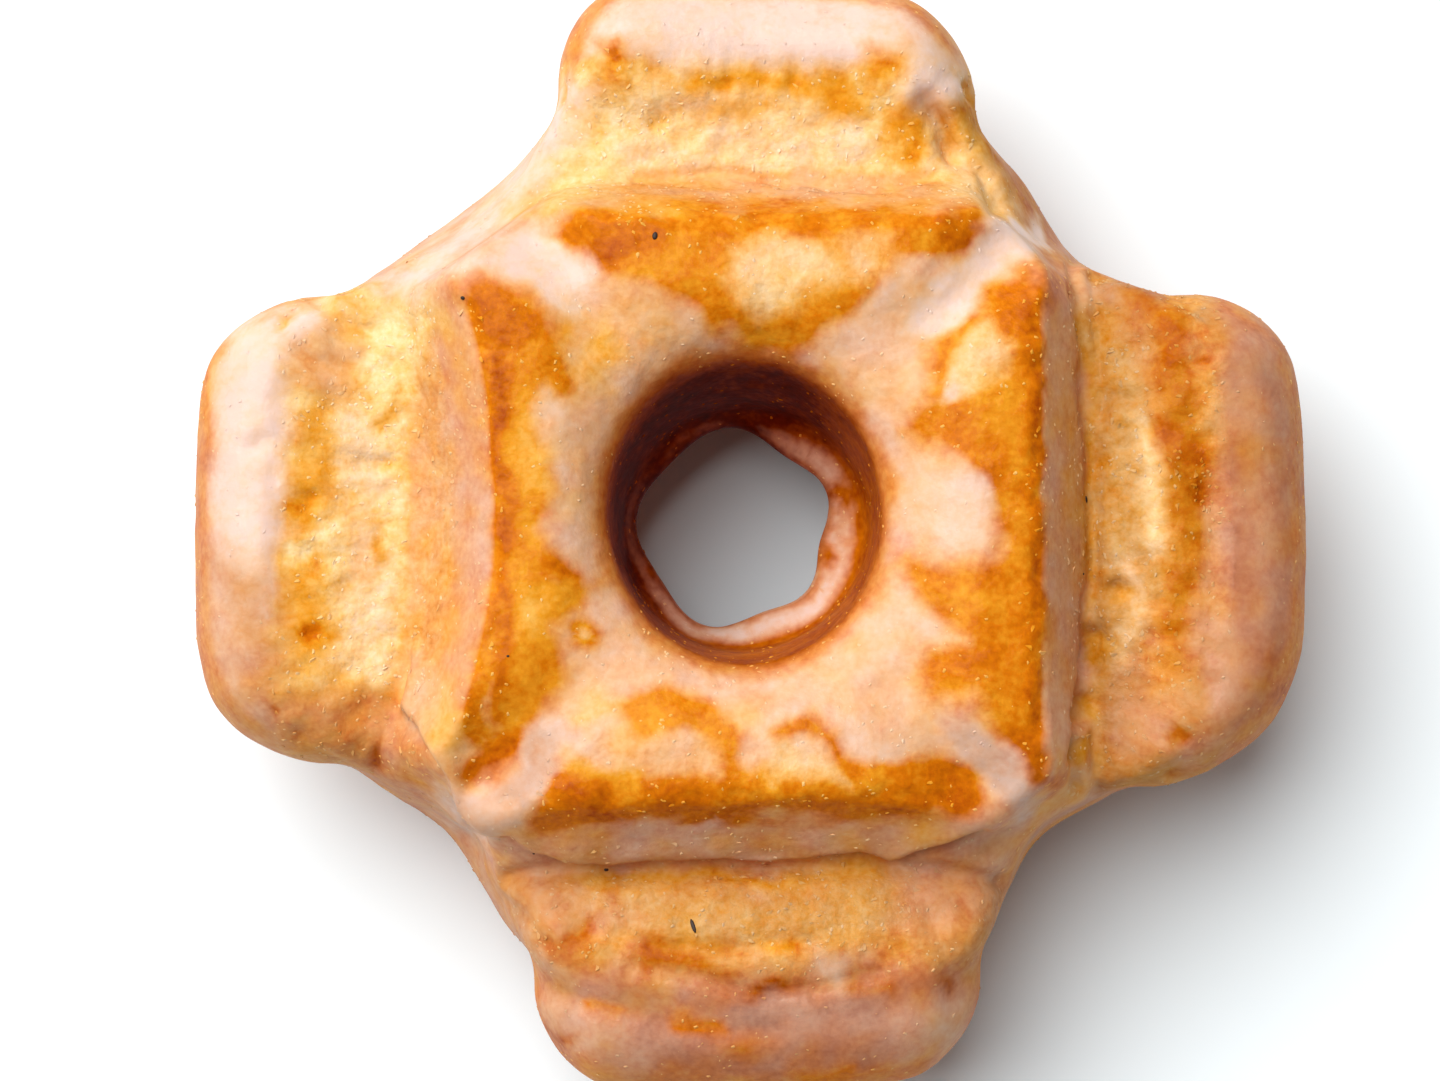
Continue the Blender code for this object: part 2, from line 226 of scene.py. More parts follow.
def petal(points, sizes):
    f, z = named(petalForm), points[:, 2]
    out, across = along(points, sizes["heading"])
    sideways = np.abs(across)
    halfWidth = np.where(across > 0, sizes["left"], sizes["right"])
    middle = rollOut(sizes, across)

    rise = smoothStep(f.shelfStart, f.shelfFull, out)
    shelfTop = heights["valley"] + (heights["shelf"] - heights["valley"]) * rise
    spread = halfWidth + f.spread * np.clip(middle - out, 0, f.spreadLength)
    lift = f.lift * np.clip(out - f.liftStart, 0, f.liftLength)
    shelf = trimmed(z - shelfTop, out - middle + f.shelfInset, f.endRound)
    shelf = trimmed(shelf, sideways - spread, f.sideRound)
    shelf = trimmed(shelf, f.underside + lift - z, f.round)
    shelf = trimmed(shelf, f.root - out, f.round)

    beyond = np.maximum(sideways - (halfWidth - f.rollHalfWidth), 0)
    centre = sizes["roll"] - f.rollHalfHeight
    roll = np.sqrt(
        ((out - middle) / f.rollHalfWidth) ** 2
        + ((z - centre) / f.rollHalfHeight) ** 2
        + (beyond / f.rollHalfWidth) ** 2
    )
    return joined(shelf, (roll - 1) * f.rollHalfWidth, f.rollFillet)


def lowerRing(points):
    f, z = named(ringForm), points[:, 2]
    bearing = np.degrees(np.arctan2(points[:, 1], points[:, 0]))
    swells = [(sizes["heading"], f.swellSpread, f.swell) for sizes in petals.values()]
    swells += [(bulge["heading"], bulge["spread"], bulge["height"]) for bulge in ringBulges.values()]
    widest = np.full(len(points), f.radius)
    for heading, spread, height in swells:
        away = (bearing - heading + 180) % 360 - 180
        widest += height * np.exp(-((away / spread) ** 2))
    foot = f.foot * np.maximum((f.widest - z) / f.widest, 0) ** 2
    shoulder = f.shoulder * np.maximum((z - f.widest) / (f.top - f.widest), 0) ** 2
    outside = np.hypot(points[:, 0], points[:, 1]) - widest + foot + shoulder
    return trimmed(trimmed(outside, z - f.top, f.topRound), -z, f.baseRound)


def wavered(points):
    shifts = [noise(points, waver["cell"], seed) for seed in (1, 2, 3)]
    return points + waver["depth"] * np.stack(shifts, axis=1)


def dough(points):
    points = wavered(points)
    shape = lowerRing(points)
    for sizes in petals.values():
        shape = joined(shape, petal(points, sizes), petalForm["fillet"])
    shape = joined(shape, crown(points), crownForm["fillet"])
    radius, toAxis = holeRadius(points)
    return trimmed(shape, radius - toAxis, holeForm["lipRound"])


def pixelOf(points):  # where points in the dough's frame fall in the photo, in its own pixels
    v = named(photoView)
    tilt = math.radians(v.tilt)
    towards = np.array([0, math.sin(tilt), -math.cos(tilt)])
    up = np.array([0, math.cos(tilt), math.sin(tilt)])
    away = points - (np.array(v.target) - v.distance * towards)
    scale = v.imageWidth * v.distance / (v.frameWidth * (away @ towards))
    column = v.imageWidth / 2 + away[:, 0] * scale
    row = v.imageHeight / 2 - (away @ up) * scale
    return column, row


# The finish of the right, back, left and front petal: where its roll begins, how wide the browned
# band beside it is, how strong the crumb's relief is, how far its flank is undercut, how softly
# crumb and roll meet, how dull and shaded it is, and how brown and how milky its roll, crumb and
# flank are. On the right and front petals, which face away from the light, the dull share is painted
# shade. Their browner, less milky values are partly their own colour and partly painted shade
petalFinish = {
    "rollStart": (38.4, 36.8, 38.3, 36.6), "band": (5.6, 2.6, 3.8, 2.4), "relief": (0.9, 0.9, 1.0, 0.6),
    "undercut": (0.55, 0.15, 0.12, 0.9), "soft": (1.6, 1.2, 0.6, 2.6), "dull": (0.95, 0.0, 0.1, 0.65),
    "rollBake": (0.62, 0.44, 0.48, 0.62), "rollHaze": (0.42, 0.9, 0.84, 0.4),
    "crumbBake": (0.4, 0.15, 0.15, 0.42), "crumbHaze": (0.3, 0.1, 0.08, 0.34),
    "flankBake": (0.48, 0.42, 0.5, 0.52), "flankHaze": (0.36, 0.22, 0.36, 0.36),
    "flankCrumb": (0.15, 0.55, 0.9, 0.1),
}

# Heights in millimetres between which each finish comes in
fromHeight = {
    "top": (28, 30), "ridge": (30, 32), "dusting": (29, 31), "roll": (9, 13), "torn": (19, 22),
    "flank": (20, 23), "undercut": (20, 22), "creases": (12, 16), "patches": (10, 14), "ring": (14, 10),
    "hole's foot": (10, 8.5), "hole in the light": (9, 11), "underside": (12, 9), "flecks": (1, 5),
}


def atHeight(name, points):
    return smoothStep(*fromHeight[name], points[:, 2])


# Values between which each finish comes in: millimetres from its edge, slopes, shares or noise
fromEdge = {
    "facing up": (-0.05, 0.35), "facing down": (-0.2, -0.7), "crown's top": (-0.5, 0.3),
    "crown's ridge": (3.4, 1.2), "ridge's ends": (1.5, 3.5), "torn crumb": (-0.6, 0.8),
    "petal's ends": (-2.5, 3.5), "flank's top": (0.4, -0.4), "flank's foot": (0.8, -0.8),
    "lower flank": (0.42, 0.62), "roll's edge": (0.80, 0.50), "band's spots": (-0.7, 0.1),
    "pits": (0.45, 0.85), "sunk": (0.0, -0.45), "veil": (0.04, 0.4), "clusters": (0.1, 0.8),
    "hole's lip": (1.7, 0.2), "hole": (0.3, -1.1), "in the light": (-8, 10), "streaks": (-0.9, 0.1),
}
edgeWiggle = ((0.9, 4.0, 31), (0.5, 1.4, 32))  # strength, cell and seed of the noise that bends edges


def atEdge(name, values):
    return smoothStep(*fromEdge[name], values)


# Where each point lies: shares from 0 to 1, and distances in millimetres
def regions(points, normals):
    still = wavered(points)
    outs, acrosses, insets = [], [], []
    for name, sizes in petals.items():
        out, across = along(still, sizes["heading"])
        outs.append(out)
        acrosses.append(across)
        insets.append(sideEdge(crownSides[name], across) - out)
    nearest = np.argmax(outs, axis=0)
    pick = np.arange(len(points))

    def own(values):  # each point's value, by its nearest petal
        return np.array(list(values))[nearest]

    place = SimpleNamespace(out=np.array(outs)[nearest, pick], across=np.array(acrosses)[nearest, pick])
    for key, values in petalFinish.items():
        setattr(place, key, own(values))
    place.sideInset = np.min(insets, axis=0)
    place.cornerInset = np.min(
        [corner["distance"] - along(still, corner["heading"])[0] for corner in crownCorners.values()], axis=0
    )
    inset = np.minimum(place.sideInset, place.cornerInset)
    bearing = np.arctan2(still[:, 1], still[:, 0])
    place.fromLip = np.hypot(still[:, 0], still[:, 1]) - lipRadius(bearing)
    leans = own(side["lean"] for side in crownSides.values())
    flankWidth = leans * (heights["crown"] - heights["valley"])
    place.downFlank = -place.sideInset / flankWidth
    place.beyondFlank = -place.sideInset - flankWidth
    place.up = atEdge("facing up", normals[:, 2])
    place.top = atEdge("crown's top", inset) * place.up * atHeight("top", points)
    wiggle = sum(strength * noise(points, cell, seed) for strength, cell, seed in edgeWiggle)
    place.toRoll = place.rollStart - place.out + wiggle
    place.roll = smoothStep(place.soft, -place.soft, place.toRoll) * atHeight("roll", points)
    lefts, rights = (own(sizes[side] for sizes in petals.values()) for side in ("left", "right"))
    halfWidth = np.where(place.across > 0, lefts, rights)
    place.ends = halfWidth + 2.5 - np.abs(place.across) + wiggle
    torn = atEdge("torn crumb", place.beyondFlank + 0.5 * wiggle)
    torn = torn * smoothStep(-place.soft, place.soft, place.toRoll)
    place.torn = torn * atEdge("petal's ends", place.ends) * place.up * atHeight("torn", points)
    place.flank = (
        atEdge("flank's top", place.sideInset) * atEdge("flank's foot", place.beyondFlank)
        * atHeight("flank", points)
    )
    place.flankFoot = place.flank * atEdge("lower flank", place.downFlank + 0.12 * wiggle)
    place.ring = atHeight("ring", points)
    return place


# The dense skin: a torus whose points are moved out to the dough's surface
skinForm = {
    "coreRadius": 22.5, "coreHeight": 12.0, "ringSteps": 640, "sectionSteps": 250, "topShare": 0.5,
    "triangles": 190000, "castSteps": 60, "castShare": 0.75, "castTolerance": 0.006,
}
relief = {
    "crag": 0.26, "cragCell": 5.0, "lump": 0.30, "lumpCell": 2.6, "crumb": 0.22, "crumbCell": 1.3,
    "grit": 0.12, "gritCell": 0.7, "pit": 0.5, "pitCell": 2.8, "crust": 0.12, "crustCell": 4.0,
    "wrinkle": 0.10, "wrinkleCell": 1.3, "ridge": 0.34, "ridgeCell": 1.5, "mottle": 0.20,
    "mottleCell": 1.6, "ring": 0.40, "ringCell": 6.0, "undercut": 1.1, "undercutHalfWidth": 0.7,
}

# Creases and ledges, drawn in the photo's pixels: depth of the groove in millimetres, how much
# higher the ground is on the left of the line, half width in millimetres, then the line
creases = {
    "left flap": (0.5, 1.5, 0.45, [(409, 667), (399, 708), (422, 741), (449, 795), (476, 836)]),
    "left flap, foot": (0.4, 1.0, 0.5, [(468, 829), (507, 838), (530, 856), (571, 863)]),
    "front undercut": (0.9, 1.2, 0.5, [
        (571, 863), (613, 869), (685, 865), (726, 861), (763, 870), (859, 855), (889, 867), (985, 834),
    ]),
    "front ripple, upper": (0.35, -0.3, 0.7, [(575, 925), (640, 946), (720, 950), (810, 940)]),
    "front ripple": (0.45, -0.35, 0.6, [(630, 972), (700, 978), (760, 996), (820, 990), (880, 978)]),
    "front ripple, lower": (0.35, -0.3, 0.6, [(560, 1000), (620, 1012), (690, 1034), (780, 1030)]),
    "front dent": (0.5, 0.0, 1.0, [(930, 925), (950, 960), (960, 1000)]),
    "left fold": (0.4, 0.0, 0.6, [(322, 305), (340, 320), (372, 330)]),
    "left roll's edge": (0.25, 0.0, 0.5, [(287, 380), (280, 470), (284, 560), (290, 650)]),
    "left dent": (0.4, 0.0, 0.7, [(252, 450), (262, 440)]),
    "right groove": (0.7, 0.0, 0.5, [
        (1074, 262), (1086, 350), (1091, 440), (1094, 540), (1090, 640), (1083, 720), (1076, 790),
    ]),
    "right pit": (1.3, 0.0, 0.9, [(1100, 640), (1093, 662)]),
    "right pit, middle": (0.8, 0.0, 0.6, [(1116, 587), (1121, 594)]),
    "right pit, low": (1.0, 0.0, 0.7, [(1088, 700), (1084, 716)]),
    "right pit, lowest": (0.9, 0.0, 0.6, [(1080, 745), (1078, 755)]),
    "right roll's line": (0.35, 0.0, 0.7, [(1214, 470), (1212, 560), (1208, 640), (1206, 700)]),
    "back crease": (0.5, 0.0, 0.45, [(636, 178), (700, 174), (800, 181), (880, 187), (935, 176)]),
    "back cleft": (1.6, 0.0, 1.0, [(928, 108), (944, 128), (952, 150)]),
    "back lump's edge": (0.8, 0.0, 0.8, [(952, 150), (985, 170), (1000, 205)]),
    "front left lumps": (0.6, 0.0, 0.8, [(462, 842), (491, 898), (510, 908), (542, 944)]),
}
creaseWander = {"pixels": 3.5, "cell": 1.8}  # how far noise moves the lines, and its size


def fromLine(x, y, line):  # distance from a line of points, and on which side, in pixels
    nearest = np.full(len(x), np.inf)
    side = np.zeros(len(x))
    for (x0, y0), (x1, y1) in zip(line, line[1:]):
        dx, dy = x1 - x0, y1 - y0
        length = math.hypot(dx, dy)
        share = np.clip(((x - x0) * dx + (y - y0) * dy) / length**2, 0, 1)
        away = np.hypot(x - x0 - share * dx, y - y0 - share * dy)
        closer = away < nearest
        nearest = np.where(closer, away, nearest)
        side = np.where(closer, ((x - x0) * dy - (y - y0) * dx) / length, side)
    return nearest, side


def creaseRelief(points):
    column, row = (
        pixels + creaseWander["pixels"] * noise(points, creaseWander["cell"], seed)
        for pixels, seed in zip(pixelOf(points), (61, 62))
    )
    pixelsPerMm = photoView["imageWidth"] / photoView["frameWidth"]
    height = np.zeros(len(points))
    for depth, step, halfWidth, line in creases.values():
        away, side = (value / pixelsPerMm for value in fromLine(column, row, line))
        height -= depth * np.exp(-((away / halfWidth) ** 2))
        height += step * np.tanh(side / halfWidth) / 2 * np.exp(-((away / (4 * halfWidth)) ** 2))
    return height * atHeight("creases", points)


def castOut(cores, headings):
    f = named(skinForm)
    reach = np.full(len(cores), 1.0)
    moving = np.arange(len(cores))
    for _ in range(f.castSteps):
        depth = dough(cores[moving] + headings[moving] * reach[moving, None])
        reach[moving] -= depth * f.castShare
        moving = moving[np.abs(depth) > f.castTolerance]
        if not len(moving):
            break
    return reach


def gridNormals(points, ringSteps, sectionSteps):
    grid = points.reshape(ringSteps, sectionSteps, 3)
    roundRing = np.roll(grid, -1, axis=0) - np.roll(grid, 1, axis=0)
    roundSection = np.roll(grid, -1, axis=1) - np.roll(grid, 1, axis=1)
    normals = np.cross(roundRing, roundSection).reshape(-1, 3)
    return normals / np.maximum(np.linalg.norm(normals, axis=1), 1e-12)[:, None]


def crumbRelief(points):
    f = named(relief)
    crags = f.crag * (0.4 - np.abs(layeredNoise(points, f.cragCell, 7)))
    lumps = f.lump * np.maximum(layeredNoise(points, f.lumpCell, 12, 2), -0.3)
    crumbs = f.crumb * noise(points, f.crumbCell, 15) + f.grit * noise(points, f.gritCell, 16)
    pits = f.pit * atEdge("pits", noise(points, f.pitCell, 18))
    return crags + lumps + crumbs - pits


def addRelief(points, normals, place, patches):
    f = named(relief)
    rough = np.maximum(place.torn * place.relief, place.flankFoot * place.flankCrumb * 0.5)
    height = crumbRelief(points) * rough
    height += f.crust * layeredNoise(points, f.crustCell, 21) * (1 - place.torn)
    edge = np.exp(-((place.sideInset / 0.8) ** 2)) * atHeight("ridge", points)
    height += f.ridge * noise(points, f.ridgeCell, 24) * edge
    height += f.mottle * layeredNoise(points, f.mottleCell, 26, 2) * patches["crumb"] * place.top
    height += f.wrinkle * layeredNoise(points, f.wrinkleCell, 27, 2) * place.top
    height += f.ring * layeredNoise(points, f.ringCell, 28, 2) * place.ring
    foot = np.exp(-(((place.beyondFlank - 0.3) / f.undercutHalfWidth) ** 2)) * (place.ends > 0)
    height -= f.undercut * place.undercut * foot * atHeight("undercut", points)
    height += creaseRelief(points) * place.up
    return points + normals * height[:, None]


# Patches of crust, crumb and glaze, placed in the photo's pixels: how brown, how milky,
# how crumbly and how dull and shaded each kind is, from 0 to 1. The dull share is partly duller
# crust and partly painted shade: kinds laid on the right and front sides and in pits, grooves and
# clefts are dulled for the shade there
finishFields = ("bake", "haze", "crumb", "dull")
patchKinds = {
    "orange": (0.57, 0.00, 0.30, 0.00),
    "gold": (0.38, 0.06, 0.40, 0.00),
    "deep": (0.66, 0.00, 0.30, 0.00),
    # painted shade: dusky is orange crust dulled for the shade on the right and front sides and in clefts
    "dusky": (0.52, 0.04, 0.40, 0.75),
    "amber": (0.52, 0.00, 0.20, 0.00),
    "pale": (0.26, 0.32, 0.70, 0.00),
    "cream": (0.14, 0.36, 0.90, 0.00),
    "yellow": (0.12, 0.10, 1.00, 0.05),
    "peach": (0.40, 0.34, 0.30, 0.05),
    "bronze": (0.52, 0.24, 0.30, 0.35),
    # painted shade: yellow crumb dulled for the crown's shade on the right and front petals
    "yellowInShade": (0.26, 0.12, 1.00, 0.80),
    "milk": (0.26, 0.98, 0.00, 0.00),
    "satin": (0.36, 0.70, 0.00, 0.00),
    "veil": (0.45, 0.76, 0.00, 0.42),
    "mauve": (0.42, 0.84, 0.00, 0.58),
    "rose": (0.50, 0.50, 0.00, 0.68),
    "tan": (0.46, 0.34, 0.20, 0.70),
    "brown": (0.62, 0.00, 0.40, 0.70),
    # painted shade: pits, pockets, grooves and the band under the crown's front edge, dulled for the shade
    # in them
    "pit": (0.40, 0.00, 0.80, 0.45),
}
petalAreas = {  # kind, softness in pixels, corners
    # the left roll's milky glaze, paler over the upper part where its highlight falls: glaze and painted
    # highlight
    "left roll": ("milk", 9, [
        (228, 345), (245, 316), (300, 303), (335, 312), (338, 328), (300, 338), (286, 370), (280, 430),
        (278, 520), (264, 600), (240, 620), (222, 500),
    ]),
    # painted shade: the lower end of the left roll, which its highlight misses, dulled to tan
    "left roll, low": ("tan", 22, [(215, 560), (272, 570), (284, 640), (310, 740), (280, 752), (235, 700)]),
    "left corner": ("peach", 14, [(300, 345), (340, 318), (372, 345), (352, 400), (318, 410), (298, 400)]),
    "left orange": ("gold", 8, [
        (300, 420), (322, 400), (334, 430), (332, 500), (312, 530), (292, 520), (290, 470),
    ]),
    "left orange, lower": ("gold", 10, [
        (288, 560), (318, 570), (330, 640), (345, 690), (310, 680), (288, 640),
    ]),
    "left cream": ("cream", 8, [(336, 410), (360, 400), (384, 420), (398, 500), (372, 508), (340, 490)]),
    "left gold": ("pale", 12, [(340, 500), (372, 500), (392, 560), (380, 620), (345, 600)]),
    "left yellow": ("yellow", 9, [(378, 318), (425, 290), (436, 320), (415, 420), (385, 428), (368, 370)]),
    "left yellow, lower": ("cream", 12, [(340, 620), (400, 570), (405, 650), (372, 690), (335, 670)]),
    "left pit": ("pit", 6, [(382, 420), (404, 388), (410, 400), (392, 428)]),
    "left side, lower": ("bronze", 10, [
        (270, 700), (330, 702), (396, 690), (420, 745), (450, 800), (480, 850), (440, 835), (360, 790),
        (290, 765),
    ]),
    "left flap": ("peach", 5, [
        (409, 664), (401, 708), (424, 741), (451, 795), (478, 836), (488, 800), (462, 740), (444, 680),
    ]),
    "back roll": ("milk", 10, [
        (628, 22), (700, 12), (820, 14), (900, 20), (905, 50), (780, 62), (650, 64),
    ]),
    "back roll's right": ("milk", 10, [(905, 40), (950, 55), (972, 95), (940, 125), (905, 118)]),
    "back left side": ("milk", 14, [(560, 70), (588, 90), (572, 150), (520, 200), (500, 196), (530, 130)]),
    "back left fold": ("orange", 10, [(596, 44), (622, 46), (630, 66), (606, 72)]),
    "back band": ("gold", 9, [
        (640, 80), (700, 76), (850, 80), (870, 100), (846, 112), (760, 98), (680, 104),
    ]),
    "back brown": ("orange", 12, [(862, 45), (900, 48), (905, 75), (880, 84), (862, 70)]),
    "back crumb": ("pale", 12, [(640, 92), (720, 94), (820, 104), (850, 130), (760, 128), (650, 122)]),
    "back cream": ("cream", 10, [
        (640, 118), (740, 126), (860, 130), (880, 165), (740, 170), (600, 170), (612, 140),
    ]),
    "back yellow, left": ("yellow", 12, [(545, 185), (600, 150), (622, 172), (570, 205), (540, 210)]),
    "back pocket": ("pit", 8, [(880, 150), (915, 150), (925, 166), (890, 170)]),
    "back flank's line": ("peach", 8, [
        (700, 184), (800, 190), (960, 196), (960, 204), (780, 200), (700, 196),
    ]),
    "back body": ("milk", 14, [(380, 290), (440, 238), (500, 205), (512, 218), (450, 262), (400, 300)]),
    "back right lump": ("pale", 8, [
        (920, 140), (960, 142), (990, 170), (1012, 205), (1024, 236), (985, 215), (930, 180),
    ]),
    "back right body": ("dusky", 9, [
        (945, 112), (975, 100), (1015, 140), (1045, 200), (1055, 262), (1030, 240), (1000, 170), (965, 135),
    ]),
    # painted shade: the right petal's patches below use dulled kinds, darker for the side turned from the
    # light
    "right yellow": ("yellowInShade", 8, [
        (1094, 300), (1125, 315), (1145, 400), (1150, 480), (1152, 560), (1140, 640), (1118, 690),
        (1098, 700), (1094, 560), (1096, 420),
    ]),
    "right cream": ("yellowInShade", 8, [(1125, 430), (1152, 460), (1160, 540), (1140, 560), (1122, 520)]),
    "right orange": ("dusky", 8, [
        (1150, 330), (1185, 350), (1206, 420), (1210, 500), (1206, 560), (1175, 560), (1160, 500),
        (1158, 420),
    ]),
    "right orange, lower": ("dusky", 12, [(1165, 560), (1205, 570), (1200, 650), (1170, 680), (1160, 620)]),
    "right orange, upper": ("dusky", 10, [(1118, 290), (1150, 288), (1185, 320), (1180, 360), (1140, 330)]),
    "right tan, low": ("tan", 14, [(1130, 680), (1190, 690), (1170, 760), (1120, 770), (1110, 720)]),
    "right roll": ("rose", 16, [
        (1230, 330), (1262, 340), (1280, 420), (1282, 560), (1262, 640), (1240, 560), (1238, 440),
    ]),
    "right roll, lower": ("rose", 16, [
        (1205, 620), (1255, 640), (1245, 720), (1200, 760), (1170, 760), (1190, 700),
    ]),
    "right pit": ("pit", 5, [(1086, 650), (1104, 632), (1116, 646), (1104, 668), (1088, 672)]),
    "right pit, upper": ("pit", 4, [(1108, 578), (1124, 576), (1126, 590), (1110, 594)]),
    # painted shade: the front petal's patches below use dulled kinds, and the front shade band darkens the
    # crumb under the crown's front edge
    "front shade": ("pit", 6, [(575, 872), (720, 868), (880, 872), (870, 886), (720, 884), (590, 888)]),
    "front gold": ("yellowInShade", 12, [
        (620, 890), (760, 888), (900, 880), (910, 925), (800, 938), (650, 930),
    ]),
    "front cream": ("yellowInShade", 9, [(690, 896), (780, 898), (840, 905), (820, 925), (720, 924)]),
    "front orange": ("dusky", 8, [(640, 940), (720, 938), (735, 952), (660, 956)]),
    "front brown": ("brown", 6, [(642, 955), (700, 958), (738, 970), (700, 976), (650, 970)]),
    "front brown, right": ("brown", 6, [(732, 990), (775, 984), (812, 990), (780, 1000), (745, 1000)]),
    "front right spot": ("orange", 7, [(756, 944), (800, 946), (795, 958), (760, 956)]),
    "front left side": ("tan", 14, [(500, 880), (560, 880), (590, 930), (560, 1000), (530, 930)]),
    "front glaze": ("tan", 12, [(600, 970), (660, 985), (700, 1000), (660, 1012), (600, 1000)]),
    "front glaze, right": ("veil", 8, [(812, 962), (838, 964), (836, 984), (814, 984)]),
    "front right side": ("tan", 16, [(890, 880), (985, 850), (990, 900), (960, 960), (915, 940)]),
    "front roll": ("veil", 16, [(900, 1012), (962, 1004), (966, 1040), (910, 1050)]),
    "front left channel's foot": ("mauve", 8, [(440, 790), (470, 800), (500, 812), (484, 845), (450, 832)]),
    "front roll, left": ("veil", 16, [(560, 1000), (590, 1015), (640, 1052), (600, 1050), (560, 1030)]),
}
petalStrokes = {  # kind, half width and softness in pixels, line
    "left spots": ("orange", 6, 5, [(290, 506), (302, 516)]),
    "right pale column": ("cream", 7, 7, [(1136, 430), (1148, 480), (1152, 540)]),
    "right pale column, lower": ("pale", 6, 7, [(1118, 556), (1136, 600), (1132, 660)]),
    "right low pit": ("pit", 7, 5, [(1088, 698), (1083, 716)]),
    "right lowest pit": ("pit", 6, 5, [(1080, 744), (1078, 756)]),
    "left spot, low": ("orange", 8, 6, [(308, 632), (322, 644)]),
    "left yellow pit": ("pit", 7, 5, [(378, 542), (384, 556)]),
    "left fold": ("gold", 5, 8, [(330, 312), (352, 328)]),
    "back streak": ("amber", 5, 7, [(690, 90), (760, 84), (840, 92)]),
    "back streak, lower": ("gold", 7, 7, [(712, 116), (767, 118)]),
    "back streak, right": ("amber", 9, 8, [(830, 100), (868, 118)]),
    "back brown, lower": ("orange", 9, 8, [(903, 115), (912, 160)]),
    "back left spot": ("deep", 6, 4, [(608, 42), (609, 56)]),
    "back cleft": ("dusky", 6, 6, [(934, 116), (948, 140)]),
    "front spot": ("orange", 8, 6, [(592, 1000), (612, 1008)]),
    "front spot, low": ("orange", 6, 5, [(678, 1022), (720, 1030)]),
    "front spot, right": ("dusky", 7, 8, [(850, 976), (890, 984)]),
    "front dark spot": ("brown", 5, 6, [(944, 990), (950, 998)]),
    "front rim": ("orange", 9, 7, [(800, 1076), (850, 1074)]),
    "front rim, left": ("brown", 6, 8, [(556, 1022), (572, 1032)]),
    # painted shade: tan and pit strokes along the right roll's line and in the right groove
    "right roll's line": ("tan", 5, 8, [(1214, 470), (1212, 560), (1208, 640)]),
    "right groove": ("pit", 3, 6, [(1084, 330), (1091, 440), (1094, 540), (1088, 660)]),
}
